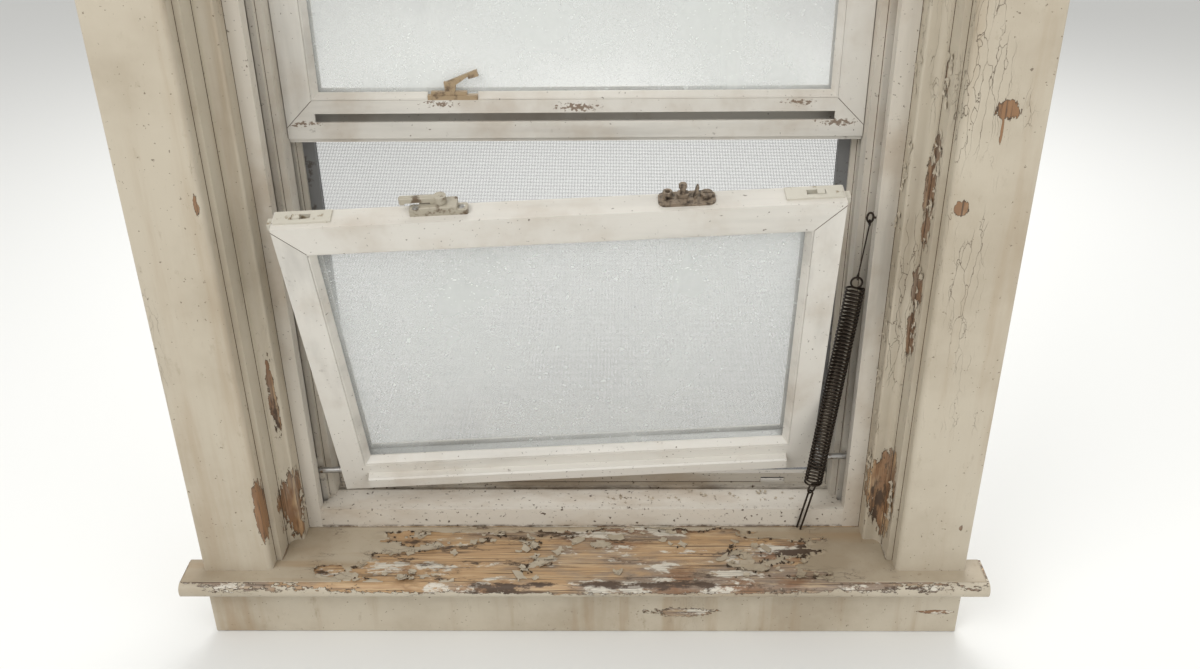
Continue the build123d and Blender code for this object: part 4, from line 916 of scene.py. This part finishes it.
# The peeled region: how much of it is gone, its middle and half width, where it fades, and how fast
GONE_SHARE = 0.34
GONE_MIDDLE = -4 * MM
GONE_HALF = 330 * MM
GONE_POWER = 5
FRONT_FADE_FROM = -34 * MM
FRONT_FADE_DEPTH = 14 * MM
FRONT_FADE = 0.1
BACK_FADE_FROM = 52 * MM
BACK_FADE_DEPTH = 16 * MM
BACK_FADE = 0.8

# Ragged patterns: scale, seed and strength
BROAD = (8.0, 3.1, 0.60)
FINE = (34.0, 8.4, 0.36)
LIFTED = (22.0, 5.5, 1.0)
DEPTH_SQUEEZE = 2.6
FRACTAL_FALL = 0.9
FRACTAL_STEP = 2.1
FRACTAL_OCTAVES = 5


def ragged(x, y, pattern):
    scale, seed, strength = pattern
    place = Vector((x * scale, y * scale * DEPTH_SQUEEZE, seed))
    return strength * noise.fractal(place, FRACTAL_FALL, FRACTAL_STEP, FRACTAL_OCTAVES)


def peeled(x, y):
    """More than 0 where the paint on the stool is gone."""
    value = 0.0
    for sign, spots in ((-1, paint_kept), (1, paint_gone)):
        for middle, half, amount in spots:
            off = ((x - middle[X]) / half[X]) ** 2 + ((y - middle[Y]) / half[Y]) ** 2
            value += sign * amount * max(0.0, 1 - off)
    across = (abs(x - GONE_MIDDLE) / GONE_HALF) ** GONE_POWER
    front = max(0.0, (FRONT_FADE_FROM - y) / FRONT_FADE_DEPTH)
    back = max(0.0, (y - BACK_FADE_FROM) / BACK_FADE_DEPTH)
    value += GONE_SHARE - across - BACK_FADE * back - FRONT_FADE * front
    return value + ragged(x, y, BROAD) + ragged(x, y, FINE)


def paint_sheet():
    """The sheet's points and faces: a grid over the stool's top, without the peeled squares."""
    left = stool_low.x + SHEET_EDGE
    front = STOOL_FRONT + NOSE_FLAT
    columns = int((stool_high.x - stool_low.x - 2 * SHEET_EDGE) / SHEET_STEP)
    rows = int((stool_high.y - front - SHEET_EDGE) / SHEET_STEP)
    index, points, faces = {}, [], []

    def corner(i, j):
        if (i, j) not in index:
            x = left + i * SHEET_STEP
            y = front + j * SHEET_STEP
            near = min(1.0, max(0.0, 1.0 + peeled(x, y) / CURL_WIDTH))
            lift = CURL_GAIN * CURL * max(0.0, CURL_LEAST + ragged(x, y, LIFTED))
            index[(i, j)] = len(points)
            points.append((x, y, STOOL_TOP + SHEET_RISE + min(CURL, lift) * near ** 3))
        return index[(i, j)]

    for i in range(columns):
        for j in range(rows):
            x = left + (i + 0.5) * SHEET_STEP
            y = front + (j + 0.5) * SHEET_STEP
            in_the_jamb = y > WALL_FACE and abs(x) > JAMB_FACE - SHEET_EDGE
            if not in_the_jamb and peeled(x, y) < 0:
                faces.append((corner(i, j), corner(i + 1, j), corner(i + 1, j + 1),
                              corner(i, j + 1)))
    return points, faces


def thicken(obj, thickness):
    solid = obj.modifiers.new("thickness", "SOLIDIFY")
    solid.thickness = thickness
    solid.offset = -1


sheet_points, sheet_faces = paint_sheet()
sheet = piece("stool_paint", sheet_points, sheet_faces, "frame", paint_sheet_look,
              True)
thicken(sheet, SHEET_THICK)


# Loose curled flakes of paint and crumbs of dirt, dark scraps of painted shadow along the edges of
# the stool's paint, and where they are strewn
FLAKE_SIDE = 4
FLAKE_THICK = 0.4 * MM
FLAKE_LIFT = 0.3 * MM
FLAKE_BENDS = (0.3, 1.8)
FLAKE_LENGTHS = (0.8, 2.0)
FLAKE_JITTER = (0.6, 1.3)
FLAKE_SIDE_JITTER = (0.5, 1.4)
STREWN_HALF = 330 * MM
STREWN_FRONT = STOOL_FRONT + 14 * MM
STREWN_BACK = stool_high.y - 7 * MM
STREWN_LEVELS = (-0.05, 0.45)
EDGE_HALF = 340 * MM
EDGE_BACK = stool_high.y - 5 * MM
EDGE_LEVELS = (0.0, 0.05)
STOP_ROUND = 12 * MM
STOP_BACK_GAP = 3 * MM
STOP_FOOT = 4 * MM
LEFT_STOP_RISES = (4, 70)
JAMB_DEPTHS = (8, 29)
JAMB_FOOT = 5 * MM
TREAD_SPAN = (0.02, 0.28)
TREAD_DEPTHS = (SILL_FRONT + 9 * MM, SILL_FRONT + 45 * MM)
TREAD_RISE = 22.5 * MM
GROOVE_SPAN = (-0.30, 0.30)
GROOVE_DEPTHS = (SILL_FRONT + 52 * MM, SILL_FRONT + 57 * MM)
GROOVE_RISE = 15.2 * MM


def flake(place, normal, size, bend, rng):
    """A small ragged curled scrap, as a square patch of points."""
    side = normal.orthogonal().normalized()
    side = Matrix.Rotation(rng.uniform(0, 2 * math.pi), 3, normal) @ side
    other = normal.cross(side)
    long = size * rng.uniform(*FLAKE_LENGTHS)
    last = FLAKE_SIDE - 1
    points, faces = [], []
    for i in range(FLAKE_SIDE):
        for j in range(FLAKE_SIDE):
            u = (i / last - 0.5) * long * rng.uniform(*FLAKE_JITTER)
            v = (j / last - 0.5) * size * rng.uniform(*FLAKE_SIDE_JITTER)
            lift = bend * (2 * u / long) ** 2 + FLAKE_LIFT
            points.append(place + side * u + other * v + normal * lift)
    for i in range(last):
        for j in range(last):
            a = i * FLAKE_SIDE + j
            faces.append((a, a + 1, a + FLAKE_SIDE + 1, a + FLAKE_SIDE))
    return points, faces


def scraps(name, count, place_of, normal, sizes, seed, material):
    """Many flakes as one piece: sizes are in mm, and place_of draws a place or None."""
    rng = random.Random(seed)
    least, most = sizes
    points, faces = [], []
    for _ in range(count):
        place = place_of(rng)
        if place is None:
            continue
        size = rng.uniform(least * MM, most * MM)
        bend = rng.uniform(*FLAKE_BENDS) * MM
        add_patch(points, faces, *flake(place, normal, size, bend, rng))
    thicken(piece(name, points, faces, "frame", material), FLAKE_THICK)


def on_stool(rng):
    x = rng.uniform(-STREWN_HALF, STREWN_HALF)
    y = rng.uniform(STREWN_FRONT, STREWN_BACK)
    if STREWN_LEVELS[0] <= peeled(x, y) <= STREWN_LEVELS[1]:
        return Vector((x, y, STOOL_TOP + FLAKE_LIFT))
    return None


def at_paint_edge(rng):
    x = rng.uniform(-EDGE_HALF, EDGE_HALF)
    y = rng.uniform(STREWN_FRONT, EDGE_BACK)
    if EDGE_LEVELS[0] < peeled(x, y) < EDGE_LEVELS[1]:
        return Vector((x, y, STOOL_TOP))
    return None


def on_right_stop(rng):
    middle, half, _ = rng.choice(right_stop_peels)
    y = rng.uniform(stop_right_low.y + STOP_ROUND, stop_right_high.y - STOP_BACK_GAP)
    z = middle[Z] + rng.uniform(-1, 1) * half[Z]
    return Vector((RIGHT_STOP_FACE, y, max(z, STOOL_TOP + STOP_FOOT)))


def on_right_jamb(rng):
    middle, half, _ = rng.choice(right_stop_peels)
    z = middle[Z] + rng.uniform(-1, 1) * half[Z]
    return Vector((JAMB_FACE, rng.uniform(*JAMB_DEPTHS) * MM, max(z, STOOL_TOP + JAMB_FOOT)))


def on_left_stop(rng):
    y = rng.uniform(stop_left_low.y + STOP_ROUND, stop_left_high.y - STOP_BACK_GAP)
    return Vector((LEFT_STOP_FACE, y, STOOL_TOP + rng.uniform(*LEFT_STOP_RISES) * MM))


def on_tread(rng):
    return Vector((rng.uniform(*TREAD_SPAN), rng.uniform(*TREAD_DEPTHS), STOOL_TOP + TREAD_RISE))


def in_groove(rng):
    return Vector((rng.uniform(*GROOVE_SPAN), rng.uniform(*GROOVE_DEPTHS),
                   STOOL_TOP + GROOVE_RISE))


OLD_PAINT = SLOT_LOOKS["painted_wood"]
LEFTWARDS = Vector((-1, 0, 0))
RIGHTWARDS = Vector((1, 0, 0))
scraps("stool_flakes", 150, on_stool, UP, (2, 11), 11, paint_sheet_look)
# Painted shadow: dark scraps along the ragged edges of the stool's paint, where the curled paint
# would shade the wood
scraps("paint_edge_shadow", 7000, at_paint_edge, UP, (1.2, 3.2), 17, dirt_and_shade_look)
scraps("stop_flakes_right", 46, on_right_stop, LEFTWARDS, (3, 8), 12, OLD_PAINT)
scraps("jamb_flakes_right", 60, on_right_jamb, LEFTWARDS, (3, 8), 16, OLD_PAINT)
scraps("stop_flakes_left", 16, on_left_stop, RIGHTWARDS, (3, 7), 13, OLD_PAINT)
scraps("sill_scraps", 60, on_tread, UP, (1.2, 3.5), 14, paint_sheet_look)
scraps("groove_dirt", 80, in_groove, UP, (1.0, 3.0), 15, SLOT_LOOKS["raw_wood"])


# Stage: a pale floor under the part, soft lamps and a pale world
FLOOR_SIZE = 30.0
FLOOR_DROP = 0.5 * MM
WORLD_STRENGTH = 0.75
LAMP_TARGET = Vector((0, 0, 0.4))


def stage_plane(name, size, z, tone):
    half = size / 2
    mesh = bpy.data.meshes.new(name)
    mesh.from_pydata([(-half, -half, z), (half, -half, z), (half, half, z), (-half, half, z)],
                     [], [(0, 1, 2, 3)])
    obj = bpy.data.objects.new(name, mesh)
    bpy.context.scene.collection.objects.link(obj)
    dress(obj, Look(name + "_look", tone, 0.9).finish())


def area_lamp(name, place, size, power):
    data = bpy.data.lights.new(name, "AREA")
    data.size = size
    data.energy = power
    obj = bpy.data.objects.new(name, data)
    obj.location = place
    obj.rotation_euler = (LAMP_TARGET - Vector(place)).to_track_quat("-Z", "Y").to_euler()
    bpy.context.scene.collection.objects.link(obj)


def pale_world():
    world = bpy.data.worlds.new("studio")
    world.use_nodes = True
    back = world.node_tree.nodes["Background"]
    back.inputs["Color"].default_value = WORLD_GREY
    back.inputs["Strength"].default_value = WORLD_STRENGTH
    bpy.context.scene.world = world


def photo_camera():
    data = bpy.data.cameras.new("camera")
    data.sensor_width = SENSOR
    data.lens = SENSOR * FOCAL_PIXELS / IMAGE_WIDTH
    data.clip_start = CLIP_START
    obj = bpy.data.objects.new("camera", data)
    turn = Matrix((right_way, -down_way, -forward)).transposed()
    obj.matrix_world = Matrix.Translation(EYE_PLACE) @ turn.to_4x4()
    bpy.context.scene.collection.objects.link(obj)
    bpy.context.scene.camera = obj


stage_plane("floor", FLOOR_SIZE, cad_bounds[0][2] - FLOOR_DROP, FLOOR_GREY)
area_lamp("key", (-1.3, -1.6, 2.3), 1.6, 34)
area_lamp("fill", (1.6, -1.4, 1.2), 1.8, 12)
area_lamp("daylight", (0.2, 1.8, 1.9), 1.6, 40)
pale_world()
photo_camera()
bpy.context.scene.view_settings.view_transform = "Standard"
